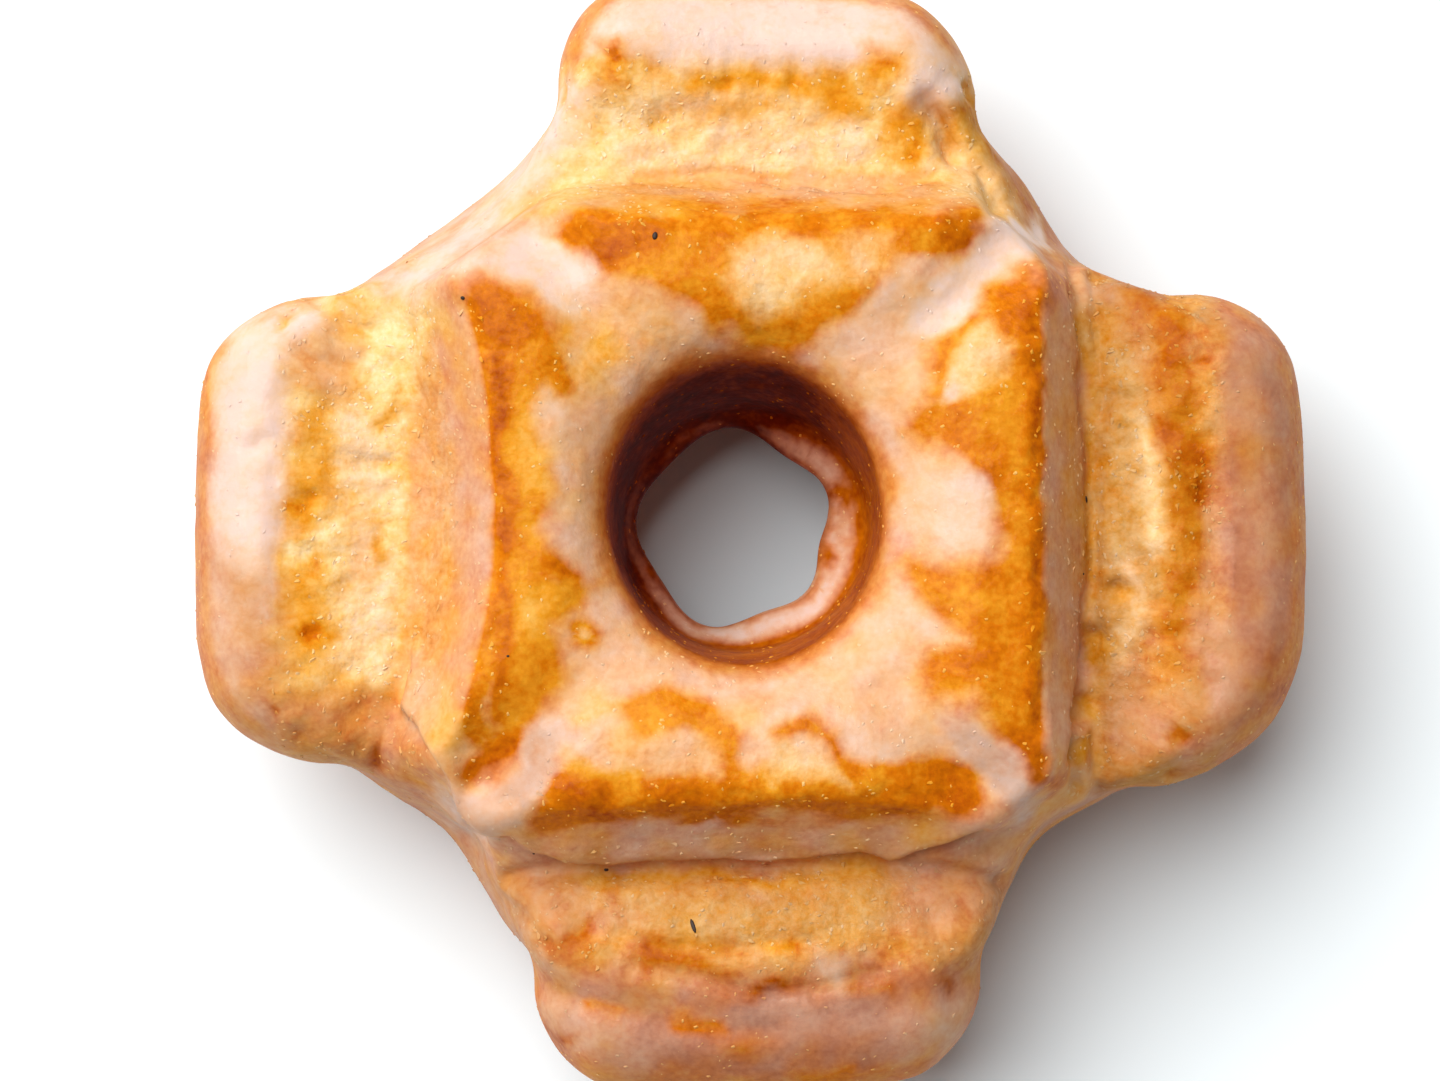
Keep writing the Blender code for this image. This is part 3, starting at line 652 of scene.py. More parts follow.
crownAreas = {
    "back field": ("orange", 9, [
        (565, 220), (626, 214), (798, 222), (973, 214), (977, 245), (934, 262), (898, 264), (869, 295),
        (841, 324), (812, 345), (782, 358), (748, 349), (716, 338), (691, 313), (655, 293), (612, 277),
        (583, 250),
    ]),
    "back mound": ("pale", 10, [
        (723, 242), (769, 236), (819, 245), (841, 270), (819, 288), (784, 306), (766, 326), (741, 310),
        (726, 277),
    ]),
    "back mound's left": ("amber", 10, [(662, 242), (705, 238), (716, 270), (691, 288), (665, 270)]),
    "back right mound": ("pale", 12, [(844, 240), (891, 240), (884, 267), (852, 274)]),
    "left field": ("amber", 10, [
        (483, 263), (519, 288), (558, 320), (567, 356), (547, 385), (540, 428), (555, 471), (547, 528),
        (555, 571), (594, 582), (583, 607), (558, 628), (569, 671), (555, 714), (515, 761), (458, 778),
        (490, 721), (501, 635), (501, 528), (499, 421), (487, 335),
    ]),
    "left field's gold": ("gold", 14, [(524, 406), (547, 421), (544, 471), (529, 506), (519, 478)]),
    "left field's lower gold": ("gold", 14, [(519, 571), (547, 585), (540, 628), (519, 628)]),
    "back left channel": ("milk", 5, [
        (490, 250), (526, 236), (562, 243), (587, 288), (576, 313), (540, 288),
    ]),
    "back left plateau": ("peach", 16, [
        (576, 306), (626, 299), (683, 327), (676, 363), (612, 406), (576, 385),
    ]),
    "right field": ("orange", 10, [
        (1034, 263), (1041, 385), (1042, 528), (1042, 671), (1036, 786), (1013, 743), (978, 705),
        (927, 703), (918, 675), (934, 651), (971, 648), (941, 625), (912, 599), (898, 557), (921, 546),
        (961, 571), (988, 560), (993, 514), (973, 474), (918, 453), (898, 421), (934, 393), (932, 363),
        (947, 324), (991, 288),
    ]),
    "right mound": ("pale", 9, [
        (961, 329), (991, 317), (1013, 342), (1005, 378), (977, 398), (950, 389), (950, 358),
    ]),
    # painted highlight: a milky spot where the wet highlight falls on the right mound
    "right mound's painted highlight": ("milk", 6, [(945, 370), (961, 374), (957, 392), (942, 388)]),
    "right field's gold": ("amber", 9, [(973, 406), (1013, 399), (1027, 442), (998, 463), (970, 442)]),
    "right hollow": ("satin", 14, [
        (898, 467), (934, 458), (966, 478), (980, 517), (973, 553), (941, 560), (918, 528), (898, 514),
    ]),
    "back right channel": ("milk", 5, [
        (998, 226), (1038, 224), (1045, 249), (984, 302), (934, 338), (898, 338), (927, 299), (963, 267),
    ]),
    "front right channel": ("veil", 5, [
        (934, 715), (966, 712), (1013, 743), (1045, 793), (1027, 818), (995, 800), (966, 757),
    ]),
    "front field": ("orange", 9, [
        (533, 827), (555, 782), (583, 768), (676, 784), (755, 773), (869, 778), (934, 753), (973, 778),
        (978, 808), (869, 808), (755, 807), (640, 813),
    ]),
    "front left mound": ("peach", 9, [
        (594, 743), (619, 718), (662, 715), (701, 739), (726, 775), (676, 784), (612, 773),
    ]),
    "front left arc": ("orange", 7, [
        (608, 703), (633, 682), (676, 682), (706, 703), (733, 739), (746, 778), (728, 778), (706, 743),
        (676, 720), (633, 720),
    ]),
    "front left arc's gold": ("amber", 8, [
        (614, 700), (640, 686), (676, 686), (706, 712), (718, 742), (680, 730), (633, 724),
    ]),
    "front right mound": ("pale", 9, [(768, 743), (791, 728), (819, 743), (852, 778), (776, 778)]),
    "front right arc": ("orange", 6, [
        (768, 727), (784, 710), (809, 707), (835, 727), (862, 757), (887, 780), (861, 786), (832, 751),
        (805, 732), (784, 734),
    ]),
    # painted shade: the front left channel, at the corner turned from the light, is dulled
    "front left channel": ("mauve", 5, [
        (444, 800), (483, 791), (533, 743), (580, 703), (601, 715), (562, 764), (519, 818), (469, 825),
    ]),
    "front left channel's head": ("pale", 9, [(565, 718), (594, 687), (612, 696), (590, 732)]),
}
crownStrokes = {
    "back ridge's left end": ("deep", 15, 8, [(580, 231), (612, 249)]),
    "back ridge's right end": ("deep", 13, 8, [(945, 234), (970, 238)]),
    "back ridge": ("orange", 9, 6, [(583, 220), (762, 217), (970, 217)]),
    "back tongue's foot": ("amber", 8, 8, [(755, 342), (801, 340)]),
    "left ridge's upper end": ("deep", 18, 10, [(479, 285), (512, 327)]),
    "left ridge": ("deep", 6, 6, [(493, 356), (506, 514), (506, 628), (497, 714)]),
    "left ridge's lower end": ("deep", 11, 8, [(465, 771), (508, 751)]),
    "left spot": ("orange", 12, 5, [(560, 372), (569, 379)]),
    "left spot, soft": ("gold", 12, 7, [(606, 342), (609, 350)]),
    "left spot, lower": ("orange", 12, 6, [(558, 560), (567, 571)]),
    "ring spot": ("orange", 19, 5, [(585, 634), (588, 638)]),
    "ring spot's middle": ("pale", 5, 4, [(587, 636), (587, 637)]),
    "front left small spots": ("gold", 12, 7, [(576, 768), (633, 778)]),
    "front ridge": ("deep", 6, 5, [(569, 806), (655, 808), (841, 806), (963, 803)]),
    "front ridge's left end": ("deep", 14, 8, [(547, 811), (594, 787)]),
    "front ridge's right end": ("deep", 14, 8, [(945, 778), (968, 800)]),
    "right ridge's upper end": ("deep", 16, 10, [(1005, 317), (1045, 292)]),
    "right ridge": ("deep", 6, 6, [(1032, 313), (1036, 456), (1035, 599), (1032, 728)]),
    "right ridge's lower end": ("deep", 14, 8, [(1027, 743), (1047, 778)]),
    "right outline": ("orange", 7, 5, [(941, 385), (945, 349), (966, 322)]),
}


def fromArea(x, y, corners):  # distance to an area's edge in pixels, negative inside
    away, _ = fromLine(x, y, [*corners, corners[0]])
    inside = np.zeros(len(x), bool)
    for (x0, y0), (x1, y1) in zip(corners, [*corners[1:], corners[0]]):
        if y0 != y1:
            crossing = (y > min(y0, y1)) & (y <= max(y0, y1))
            inside ^= crossing & (x < x0 + (y - y0) * (x1 - x0) / (y1 - y0))
    return np.where(inside, -away, away)


# How far noise moves the patches and frays their edges, in pixels, with its cells in millimetres
patchEdges = {
    "shift": 11, "shiftCell": 3.4, "fineShift": 6, "fineShiftCell": 1.5, "fray": 3, "frayCell": 1.0,
    "fade": 1.8, "strength": 0.95,
}


# How strongly each kind of patch shows at each point
def patchShares(points, place):
    f = named(patchEdges)
    up = place.up * atHeight("patches", points)
    x, y = (
        pixels + f.shift * noise(points, f.shiftCell, seed)
        + f.fineShift * noise(points, f.fineShiftCell, seed + 1)
        for pixels, seed in zip(pixelOf(points), (41, 43))
    )
    frayed = f.fray * noise(points, f.frayCell, 45)
    fields = np.zeros((len(finishFields) + 1, len(points)))

    def lay(kind, distance, softness):
        share = f.strength * smoothStep(f.fade * softness, -f.fade * softness, distance + frayed) * up
        fields[:] = fields * (1 - share) + np.array([*patchKinds[kind], 1.0])[:, None] * share

    for areas, strokes in ((petalAreas, petalStrokes), (crownAreas, crownStrokes)):
        for kind, softness, corners in areas.values():
            lay(kind, fromArea(x, y, corners), softness)
        for kind, halfWidth, softness, line in strokes.values():
            lay(kind, fromLine(x, y, line)[0] - halfWidth, softness)
    return dict(zip((*finishFields, "share"), fields))


# The same four for each zone of the crust
crustFinish = {
    "bare": (0.49, 0.32, 0.12, 0.45),
    "ring": (0.54, 0.26, 0.15, 0.60),
    "roll edge": (0.55, 0.12, 0.10, 0.15),
    "band": (0.43, 0.14, 0.60, 0.20),
    "flank foot": (0.40, 0.34, 0.80, 0.25),
    "plateau": (0.45, 0.58, 0.05, 0.00),
    "ridge": (0.56, 0.02, 0.30, 0.00),
    "lip": (0.56, 0.10, 0.10, 0.00),
    "hole": (0.87, 0.00, 0.00, 0.00),
    "hole's foot": (0.98, 0.00, 0.00, 0.00),
    # painted light: the hole's wall that faces the light is a lighter brown than the rest of the hole
    "hole in the light": (0.66, 0.02, 0.05, 0.00),
    "ledge": (0.40, 1.00, 0.00, 0.00),
    "underside": (0.60, 0.08, 0.20, 0.40),
}
# How much the broad and the fine mottling add to a zone's brown, and the broad one to its milk
zoneMottling = {
    "bare": (0.06, 0, 0.14), "ring": (0.07, 0, 0.12), "roll": (0.06, 0, 0.22),
    "crumb": (0, 0.16, 0.10), "band": (0, 0.08, 0), "flank": (0.05, 0, 0.14),
    "flank foot": (0, 0.10, 0.10), "plateau": (0.04, 0, 0.10), "ridge": (0, 0.05, 0),
    "underside": (0.07, 0, 0),
}
# Sizes of the broad, fine and broken mottling, and the pale streaks on the hole's ledge: height
# above its middle, half width and strength
mottling = {"broad": 4.5, "fine": 1.5, "broken": 2.4}
ledgeStreaks = ((1.7, 0.75, 1.0), (0.1, 0.4, 0.55))


# How brown, how milky with glaze, how crumbly and how dull and shaded the surface is at each point,
# from 0 to 1; the dull share is partly duller crust and partly painted shade
def finishShares(points, normals, place, patches):
    mottled = layeredNoise(points, mottling["broad"], 51)
    fine = layeredNoise(points, mottling["fine"], 55)
    finish = {key: np.zeros(len(points)) for key in finishFields}

    def blend(share, *values):
        for key, value in zip(finishFields, values):
            finish[key] = finish[key] * (1 - share) + value * share

    def blendIn(share, name, given=None):
        bake, haze, crumb, dull = given or crustFinish[name]
        broad, small, milky = zoneMottling.get(name, (0, 0, 0))
        blend(share, bake + broad * mottled + small * fine, haze + milky * mottled, crumb, dull)

    blendIn(1, "bare")
    blendIn(place.ring, "ring")
    blendIn(place.roll, "roll", (place.rollBake, place.rollHaze, 0.05, place.dull))
    blendIn(place.roll * atEdge("roll's edge", normals[:, 2]) * 0.9, "roll edge")
    blendIn(place.torn, "crumb", (place.crumbBake, place.crumbHaze, 1.0, place.dull))
    band = place.torn * smoothStep(place.band + 1, place.band - 1, place.toRoll + 0.8 * mottled)
    blendIn(band * atEdge("band's spots", mottled + fine), "band")
    blendIn(place.flank, "flank", (place.flankBake, place.flankHaze, 0.1, 0.15))
    blendIn(place.flankFoot * place.flankCrumb, "flank foot")
    blendIn(place.top, "plateau")
    ridge = place.top * atEdge("crown's ridge", place.sideInset + 1.2 * fine)
    blendIn(ridge * atEdge("ridge's ends", place.cornerInset), "ridge")
    share = patches["share"]
    blend(share, *(patches[key] / np.maximum(share, 1e-6) for key in finishFields))

    broken = layeredNoise(points, mottling["broken"], 58)
    veiled = atEdge("veil", finish["haze"])
    finish["haze"] += veiled * (0.18 * mottled + 0.16 * broken + 0.08 * fine)
    # painted shade: the crumb's hollows are browner and clearer of glaze, standing in for the warm shade in
    # them
    sunk = atEdge("sunk", crumbRelief(points)) * place.torn
    finish["bake"] += 0.07 * broken + 0.14 * sunk
    finish["haze"] *= 1 - 0.8 * sunk
    finish["dull"] += 0.15 * mottled + 0.15 * fine

    inHole = place.out < 20
    blendIn(atEdge("hole's lip", place.fromLip + 0.5 * broken) * inHole * 0.9, "lip")
    deep = atEdge("hole", place.fromLip) * inHole
    blendIn(deep, "hole")
    blendIn(deep * atHeight("hole's foot", points), "hole's foot")
    # painted light: the wall of the hole that faces the light is painted a lighter brown
    light = atEdge("in the light", points[:, 0] - points[:, 1])  # the wall that faces the light
    blendIn(deep * light * atHeight("hole in the light", points), "hole in the light")
    above = points[:, 2] - holeForm["ledgeHeight"] + 0.5 * broken
    streak = sum(
        strength * np.exp(-(((above - height) / halfWidth) ** 2))
        for height, halfWidth, strength in ledgeStreaks
    )
    streak = streak * deep * atEdge("streaks", mottled + 0.6 * fine)
    # the pale glaze streaks on the ledge show mostly on the wall that faces the light: glaze and painted
    # highlight
    blendIn(streak * (0.15 + 0.85 * light), "ledge")
    blendIn(atEdge("facing down", normals[:, 2]) * atHeight("underside", points), "underside")
    return {key: np.clip(value, 0, 1) for key, value in finish.items()}


def addObject(name, data):
    obj = bpy.data.objects.new(name, data)
    bpy.context.scene.collection.objects.link(obj)
    return obj


def readPoints(mesh, kind="co"):
    flat = np.empty(len(mesh.vertices) * 3)
    if kind == "co":
        mesh.vertices.foreach_get("co", flat)
    else:
        mesh.vertex_normals.foreach_get("vector", flat)
    return flat.reshape(-1, 3)


def ringFaces(ringSteps, sectionSteps):  # four-sided faces that wind so they point outwards
    ring, section = np.meshgrid(np.arange(ringSteps), np.arange(sectionSteps), indexing="ij")
    nextRing, nextSection = (ring + 1) % ringSteps, (section + 1) % sectionSteps
    corners = (ring, section), (nextRing, section), (nextRing, nextSection), (ring, nextSection)
    return np.stack([a * sectionSteps + b for a, b in corners], axis=-1).reshape(-1, 4)


def castSkin():
    f = named(skinForm)
    turns = np.linspace(0, 2 * math.pi, f.ringSteps, endpoint=False)
    tips = np.linspace(0, 2 * math.pi, f.sectionSteps, endpoint=False)
    tips = tips + f.topShare * np.cos(tips)
    turn, tip = (angles.ravel() for angles in np.meshgrid(turns, tips, indexing="ij"))
    outwards = np.stack([np.cos(turn), np.sin(turn), np.zeros(len(turn))], axis=1)
    upwards = np.array([0.0, 0.0, 1.0])
    cores = outwards * f.coreRadius + upwards * f.coreHeight
    headings = outwards * np.cos(tip)[:, None] + upwards * np.sin(tip)[:, None]
    return cores + headings * castOut(cores, headings)[:, None]


def makeSkin():
    f = named(skinForm)
    points = castSkin()
    print("skin cast:", len(points), "points")
    normals = gridNormals(points, f.ringSteps, f.sectionSteps)
    place = regions(points, normals)
    patches = patchShares(points, place)
    points = addRelief(points, normals, place, patches)
    points[:, 2] = np.maximum(points[:, 2], 0)
    faces = ringFaces(f.ringSteps, f.sectionSteps)
    mesh = bpy.data.meshes.new("glazedDough")
    mesh.from_pydata((points * mm).tolist(), [], faces.tolist())
    skin = addObject("glazedDough", mesh)

    if 2 * len(faces) > f.triangles:
        thin = skin.modifiers.new("fewer faces", "DECIMATE")
        thin.ratio = f.triangles / (2 * len(faces))
        view = skin.evaluated_get(bpy.context.evaluated_depsgraph_get())
        skin.data = bpy.data.meshes.new_from_object(view)
        skin.modifiers.clear()
        bpy.data.meshes.remove(mesh)
    skin.data.shade_smooth()
    return skin


# How thickly the flecks and crumbs lie on each part of the crust, and how large their clusters are
dusting = {
    "cell": 3.2, "sparse": 0.35, "clustered": 1.6, "anywhere": 0.22, "facingUp": 0.30, "torn": 0.5,
    "edge": 0.9, "edgeHalfWidth": 1.0, "crumbsOnEdge": 0.5,
}


def keepField(skin, name, values):  # one number for each point of the skin
    attribute = skin.data.attributes.new(name, "FLOAT", "POINT")
    attribute.data.foreach_set("value", values.astype(np.float32))


def paintSkin(skin):
    points, normals = readPoints(skin.data) / mm, readPoints(skin.data, "normals")
    place = regions(points, normals)
    patches = patchShares(points, place)
    for name, values in finishShares(points, normals, place, patches).items():
        keepField(skin, name, values)
    f = named(dusting)
    clusters = f.sparse + f.clustered * atEdge("clusters", layeredNoise(points, f.cell, 71))
    edge = np.exp(-((place.sideInset / f.edgeHalfWidth) ** 2)) * place.up * atHeight("dusting", points)
    rough = np.maximum(place.torn, place.flankFoot)
    dusted = f.anywhere + f.facingUp * place.up + f.torn * rough + f.edge * edge
    keepField(skin, "flecks", dusted * clusters * atHeight("flecks", points))
    keepField(skin, "crumbs", (rough + f.crumbsOnEdge * edge) * clusters * place.up)


def linear(colour):  # an sRGB colour, 0 to 255, as the shader takes it
    share = [c / 255 for c in colour]
    return (*(c / 12.92 if c <= 0.04045 else ((c + 0.055) / 1.055) ** 2.4 for c in share), 1.0)


# The crust's colours from open crumb to the darkest fry, its glaze and its grain
crustLook = {
    "colours": {
        0.00: (241, 214, 166), 0.16: (237, 195, 124), 0.32: (231, 171, 76), 0.46: (223, 146, 30),
        0.58: (206, 111, 3), 0.72: (168, 72, 2), 0.86: (106, 26, 2), 1.00: (44, 3, 1),
    },
    "glaze": (228, 197, 182),
    # the colour that the dull share multiplies towards: duller crust and painted shade
    "dull": (207, 187, 168),
    "roughness": 0.50,
    "gloss": 0.03,
    "coatOnCrust": 0.07,
    "coatOnGlaze": 0.22,
    "coatRoughness": 0.18,
    "coatFades": (0.70, 0.84),
    "roughOnCrumb": 0.22,
    "soft": 0.28,
    "softSpread": (1.0, 0.45, 0.2),
    "softScale": 0.0009,
    "blotchScale": 420.0,
    "blotches": 0.26,
    "grainScale": 1700.0,
    "grain": 0.18,
    "grainOnCrumb": 0.22,
    "unevenGlaze": 3.0,
    "clearBelow": 0.06,
    "lumpScale": 950.0,
    "lumpHeight": 0.9,
    "grainHeight": 0.6,
    "bump": 0.12,
    "bumpOnCrumb": 0.26,
    "bumpDepth": 0.0006,
}


class Graph:  # adds nodes to a tree and links them, one call for each
    def __init__(self, tree):
        self.tree = tree

    def feed(self, node, inputs):  # links each socket given, and sets each plain value
        for name, value in inputs.items():
            socket = node.inputs[name]
            if isinstance(value, bpy.types.NodeSocket):
                self.tree.links.new(value, socket)
            else:
                socket.default_value = value

    def add(self, kind, inputs=None, **settings):
        node = self.tree.nodes.new(kind)
        for name, value in settings.items():
            setattr(node, name, value)
        self.feed(node, inputs or {})
        return node

    def first(self, kind, inputs=None, **settings):  # a node's first output
        return self.add(kind, inputs, **settings).outputs[0]

    def math(self, operation, *inputs):
        return self.first("ShaderNodeMath", dict(enumerate(inputs)), operation=operation)

    def noise(self, scale, detail=3.0):
        place = self.add("ShaderNodeTexCoord").outputs["Object"]
        inputs = {"Vector": place, "Scale": scale, "Detail": detail}
        return self.add("ShaderNodeTexNoise", inputs).outputs["Fac"]

    def mix(self, share, a, b, blend="MIX"):
        inputs = {"Factor": share, 6: a, 7: b}
        return self.add("ShaderNodeMix", inputs, data_type="RGBA", blend_type=blend).outputs[2]

    def fit(self, value, low, high, start=0.0, end=1.0):
        names = ("Value", "From Min", "From Max", "To Min", "To Max")
        return self.first("ShaderNodeMapRange", dict(zip(names, (value, low, high, start, end))))

    def random(self, low, high, seed, kind="FLOAT"):
        first = 2 if kind == "FLOAT" else 0
        inputs = {first: low, first + 1: high, "Seed": seed}
        return shown(self.add("FunctionNodeRandomValue", inputs, data_type=kind))


def shown(node):  # the socket that the node's setting leaves in use
    return next(socket for socket in node.outputs if socket.enabled)


def startMaterial(name):
    material = bpy.data.materials.new(name)
    material.use_nodes = True
    return material, Graph(material.node_tree), material.node_tree.nodes["Principled BSDF"]


def crustMaterial(name, paler=0.0, milkier=0.0):
    look = named(crustLook)
    material, graph, shader = startMaterial(name)
    bake, haze, crumb, dull = (
        graph.add("ShaderNodeAttribute", attribute_name=field).outputs["Fac"] for field in finishFields
    )
    blotch, grain = graph.noise(look.blotchScale), graph.noise(look.grainScale)
    grained = graph.math("MULTIPLY_ADD", crumb, look.grainOnCrumb, look.grain)
    blotches, grained = (
        graph.math("MULTIPLY", graph.math("SUBTRACT", pattern, 0.5), amount)
        for pattern, amount in ((blotch, look.blotches), (grain, grained))
    )
    uneven = graph.math("ADD", blotches, grained)
    browned = graph.math("SUBTRACT", graph.math("ADD", bake, uneven), paler)
    ramp = graph.add("ShaderNodeValToRGB", {"Fac": browned})
    for step, (position, colour) in enumerate(look.colours.items()):
        if step < 2:
            stop = ramp.color_ramp.elements[step]
            stop.position = position
        else:
            stop = ramp.color_ramp.elements.new(position)
        stop.color = linear(colour)
    thinned = graph.math("SUBTRACT", 1.0, graph.math("MULTIPLY", uneven, look.unevenGlaze))
    milk = graph.math("MULTIPLY", graph.math("ADD", haze, milkier), thinned)
    milk = graph.fit(milk, look.clearBelow, 1.0)
    glazed = graph.mix(milk, ramp.outputs["Color"], linear(look.glaze))
    onCrust = graph.fit(bake, *look.coatFades, look.coatOnCrust, 0.0)
    lumps = graph.math("MULTIPLY", graph.noise(look.lumpScale), look.lumpHeight)
    height = graph.math("ADD", graph.math("MULTIPLY", grain, look.grainHeight), lumps)
    strength = graph.math("MULTIPLY_ADD", crumb, look.bumpOnCrumb, look.bump)
    bump = graph.add("ShaderNodeBump", {"Height": height, "Strength": strength, "Distance": look.bumpDepth})
    shader.subsurface_method = "BURLEY"
    # the dull share darkens the base colour towards the dull colour: duller crust and painted shade
    graph.feed(shader, {
        "Base Color": graph.mix(dull, glazed, linear(look.dull), "MULTIPLY"),
        "Roughness": graph.math("MULTIPLY_ADD", crumb, look.roughOnCrumb, look.roughness),
        "Subsurface Weight": 0.0 if paler else look.soft, "Subsurface Radius": look.softSpread,
        "Subsurface Scale": look.softScale, "Specular IOR Level": look.gloss,
        "Coat Weight": graph.math("MULTIPLY_ADD", milk, look.coatOnGlaze, onCrust),
        "Coat Roughness": look.coatRoughness,
        "Normal": bump.outputs["Normal"], "Coat Normal": bump.outputs["Normal"],
    })
    return material


skin = makeSkin()
paintSkin(skin)
skin.data.materials.append(crustMaterial("glazed crust"))
points = readPoints(skin.data)
middle = (points.min(axis=0) + points.max(axis=0)) / 2
shift = Vector((-middle[0], -middle[1], 0))
skin.data.transform(Matrix.Translation(shift))
print("skin painted:", len(skin.data.polygons), "faces")
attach(skin, "root")
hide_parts("doughnut")

# Loose bits on the crust: the most of them for each square metre, their half sizes in metres, and
# how much paler and milkier they are than the crust below
looseBits = {
    "sugarFlecks": {
        "Where": "flecks", "Density": 900000.0, "Smallest": 0.00007, "Largest": 0.00025,
        "Flatness": 0.25, "Seed": 5, "Paler": 0.22, "Milkier": 0.06,
    },
    "looseCrumbs": {
        "Where": "crumbs", "Density": 600000.0, "Smallest": 0.00014, "Largest": 0.00040,
        "Flatness": 0.25, "Seed": 8, "Paler": 0.14, "Milkier": 0.04,
    },
}
bitForm = {"tilt": 0.3, "dent": 0.4, "width": 0.5}  # in radians, and in shares of the length
speckLook = {"colours": ((16, 10, 6), (60, 34, 16)), "grainScale": 1500.0, "roughness": 0.6}
# Black specks: column and row in the photo, half length and half width in millimetres, turn
specks = [
    (655, 235, 0.34, 0.22, 80), (693, 928, 0.62, 0.17, 110), (463, 298, 0.20, 0.16, 0),
    (1088, 500, 0.30, 0.16, 100), (1083, 575, 0.13, 0.10, 0), (607, 870, 0.22, 0.16, 10),
    (508, 657, 0.13, 0.10, 0), (534, 855, 0.11, 0.09, 0),
]


def scatterTree():
    tree = bpy.data.node_groups.new("bits on the crust", "GeometryNodeTree")
    kinds = {
        "Geometry": "Geometry", "Where": "String", "Density": "Float", "Smallest": "Float",
        "Largest": "Float", "Flatness": "Float", "Seed": "Int", "Material": "Material",
    }
    for name, kind in kinds.items():
        tree.interface.new_socket(name, in_out="INPUT", socket_type="NodeSocket" + kind)
    tree.interface.new_socket("Geometry", in_out="OUTPUT", socket_type="NodeSocketGeometry")
    graph = Graph(tree)
    given = graph.add("NodeGroupInput").outputs
    where = graph.add("GeometryNodeInputNamedAttribute", {"Name": given["Where"]}, data_type="FLOAT")
    density = graph.math("MULTIPLY", shown(where), given["Density"])
    spots = graph.add("GeometryNodeDistributePointsOnFaces", {
        "Mesh": given["Geometry"], "Density": density, "Seed": given["Seed"],
    })
    size = graph.random(given["Smallest"], given["Largest"], given["Seed"])
    tilt, dent = bitForm["tilt"], bitForm["dent"]
    spin = graph.random((-tilt, -tilt, 0.0), (tilt, tilt, 2 * math.pi), given["Seed"], "FLOAT_VECTOR")
    spun = graph.first("FunctionNodeEulerToRotation", {"Euler": spin})
    turned = graph.first("FunctionNodeRotateRotation", {
        "Rotation": spots.outputs["Rotation"], "Rotate By": spun,
    }, rotation_space="LOCAL")
    shape = {"X": 1.0, "Y": bitForm["width"], "Z": given["Flatness"]}
    shape = graph.first("ShaderNodeCombineXYZ", shape)
    scale = graph.first("ShaderNodeVectorMath", {0: shape, "Scale": size}, operation="SCALE")
    ball = graph.first("GeometryNodeMeshIcoSphere", {"Radius": 1.0, "Subdivisions": 1})
    dents = graph.random((-dent,) * 3, (dent,) * 3, given["Seed"], "FLOAT_VECTOR")
    bit = graph.first("GeometryNodeSetPosition", {"Geometry": ball, "Offset": dents})
    bits = graph.first("GeometryNodeInstanceOnPoints", {
        "Points": spots.outputs["Points"], "Instance": bit, "Rotation": turned, "Scale": scale,
    })
    real = graph.first("GeometryNodeRealizeInstances", {"Geometry": bits})
    dressed = graph.first("GeometryNodeSetMaterial", {"Geometry": real, "Material": given["Material"]})
    graph.add("NodeGroupOutput", {"Geometry": dressed})
    return tree


def speckMaterial():
    look = named(speckLook)
    material, graph, shader = startMaterial("burnt specks")
    mixed = graph.mix(graph.noise(look.grainScale, 2.0), *(linear(colour) for colour in look.colours))
    graph.feed(shader, {"Base Color": mixed, "Roughness": look.roughness})
    return material


def keepBits(obj, name):
    print(name + ":", len(obj.data.polygons), "faces")
    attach(obj, "root")


def scatterBits(name, tree):
    bits = addObject(name, skin.data.copy())
    scatter = bits.modifiers.new("scatter", "NODES")
    scatter.node_group = tree
    given = looseBits[name]
    given = {**given, "Material": crustMaterial(name, given["Paler"], given["Milkier"])}
    for socket in tree.interface.items_tree:
        if socket.in_out == "INPUT" and socket.name in given:
            scatter[socket.identifier] = given[socket.name]
    view = bits.evaluated_get(bpy.context.evaluated_depsgraph_get())
    mesh = bpy.data.meshes.new_from_object(view)
    bits.modifiers.clear()
    bits.data = mesh
    keepBits(bits, name)


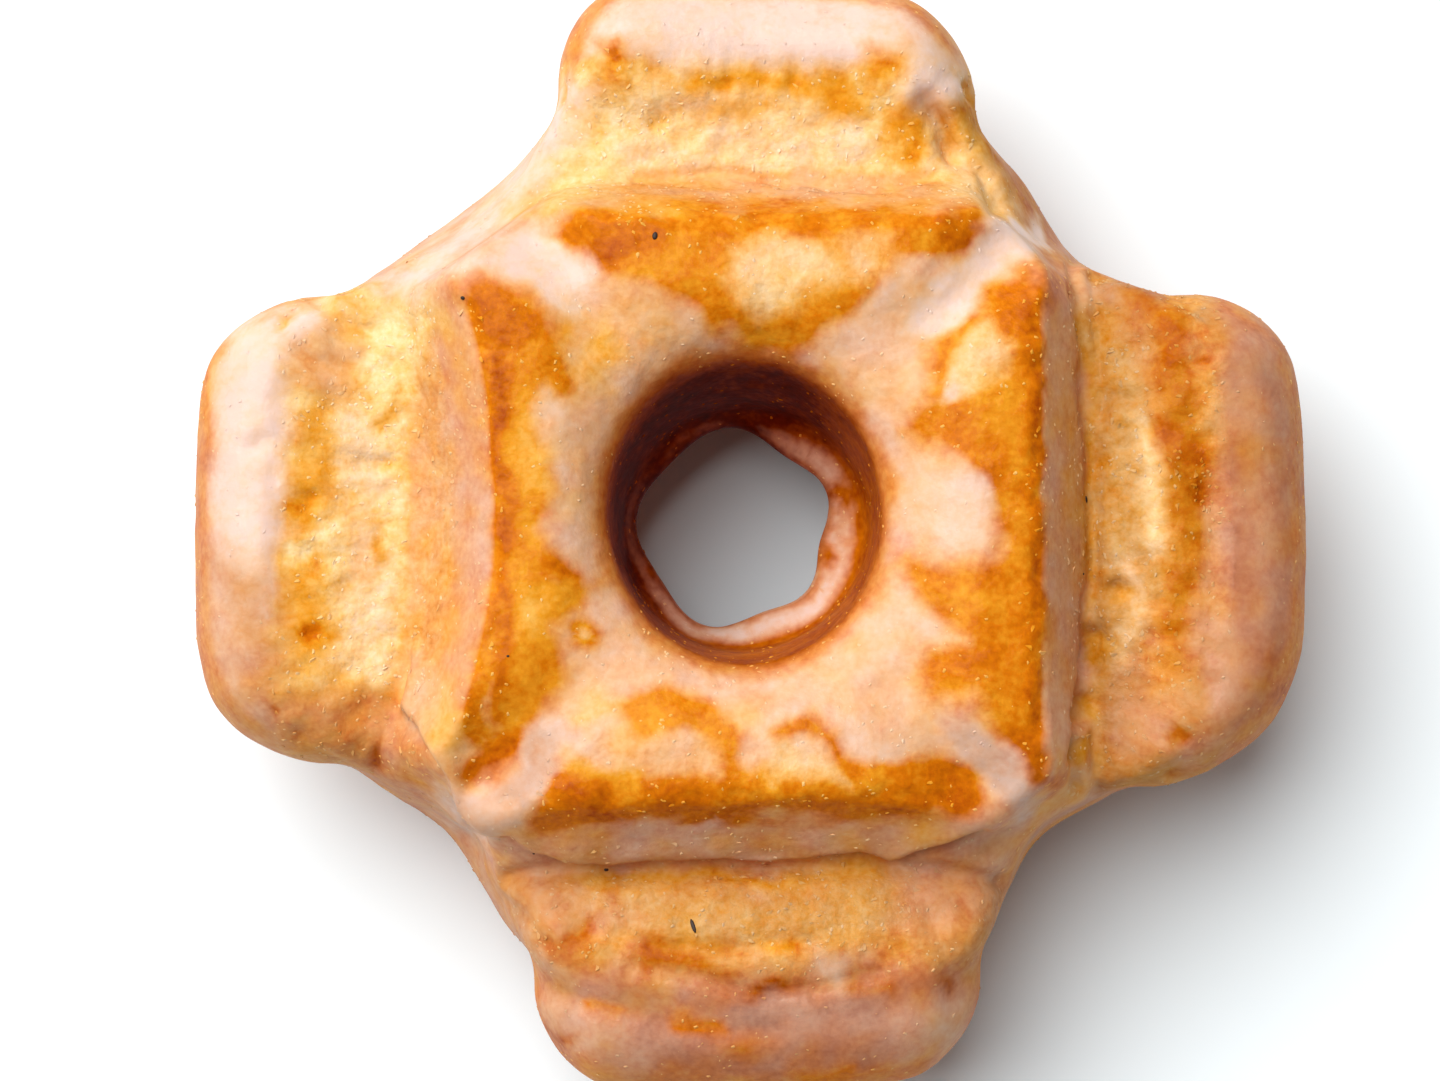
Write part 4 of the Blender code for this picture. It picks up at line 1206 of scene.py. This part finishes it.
def makeSpecks():
    points, normals = readPoints(skin.data), readPoints(skin.data, "normals")
    columns, rows = pixelOf((points - np.array(shift)) / mm)
    shape = bmesh.new()
    for column, row, halfLength, halfWidth, turn in specks:
        away = np.hypot(columns - column, rows - row) + 1000 * (normals[:, 2] < 0.1)
        nearest = int(np.argmin(away))
        upright = Vector((0, 0, 1)).rotation_difference(Vector(normals[nearest])).to_matrix().to_4x4()
        turned = upright @ Matrix.Rotation(math.radians(turn), 4, "Z")
        size = Matrix.Diagonal((halfLength * mm, halfWidth * mm, 0.6 * halfWidth * mm, 1))
        place = Matrix.Translation(Vector(points[nearest])) @ turned @ size
        bmesh.ops.create_icosphere(shape, subdivisions=2, radius=1, matrix=place)
    mesh = bpy.data.meshes.new("blackSpecks")
    shape.to_mesh(mesh)
    shape.free()
    mesh.shade_smooth()
    mesh.materials.append(speckMaterial())
    keepBits(addObject("blackSpecks", mesh), "blackSpecks")


tree = scatterTree()
for name in looseBits:
    scatterBits(name, tree)
makeSpecks()

# Camera, light and floor
keyLight = {"from": (-0.37, 0.39, 0.84), "spread": 57, "strength": 4.2, "colour": (1.0, 0.99, 0.975)}
surround = {"colour": (0.98, 0.99, 1.0), "strength": 0.18}
floorLook = {"size": 6.0, "colour": (0.88, 0.95, 0.985), "roughness": 0.9}


def makeCamera():
    v = named(photoView)
    camera = addObject("camera", bpy.data.cameras.new("camera"))
    camera.data.sensor_width = v.sensor
    camera.data.lens = v.sensor * v.distance / v.frameWidth
    target = Vector(v.target) * mm + shift
    tilt = math.radians(v.tilt)
    camera.location = target + Vector((0, -math.sin(tilt), math.cos(tilt))) * v.distance * mm
    camera.rotation_euler = (tilt, 0, 0)
    camera.data.clip_start = 0.01
    bpy.context.scene.camera = camera


def makeLight():
    lamp = bpy.data.lights.new("key", "SUN")
    lamp.angle = math.radians(keyLight["spread"])
    lamp.energy = keyLight["strength"]
    lamp.color = keyLight["colour"]
    obj = addObject("key", lamp)
    obj.location = Vector(keyLight["from"]) * 0.5
    obj.rotation_euler = Vector(keyLight["from"]).to_track_quat("Z", "Y").to_euler()
    world = bpy.data.worlds.new("studio")
    world.use_nodes = True
    background = world.node_tree.nodes["Background"].inputs
    background["Color"].default_value = (*surround["colour"], 1)
    background["Strength"].default_value = surround["strength"]
    bpy.context.scene.world = world
    bpy.context.scene.view_settings.view_transform = "Standard"


def makeFloor():
    bpy.ops.mesh.primitive_plane_add(size=floorLook["size"])
    floor = bpy.context.object
    floor.name = "floor"
    material, graph, shader = startMaterial("pale floor")
    graph.feed(shader, {"Base Color": (*floorLook["colour"], 1), "Roughness": floorLook["roughness"]})
    floor.data.materials.append(material)


makeCamera()
makeLight()
makeFloor()
print("camera, light and floor placed")
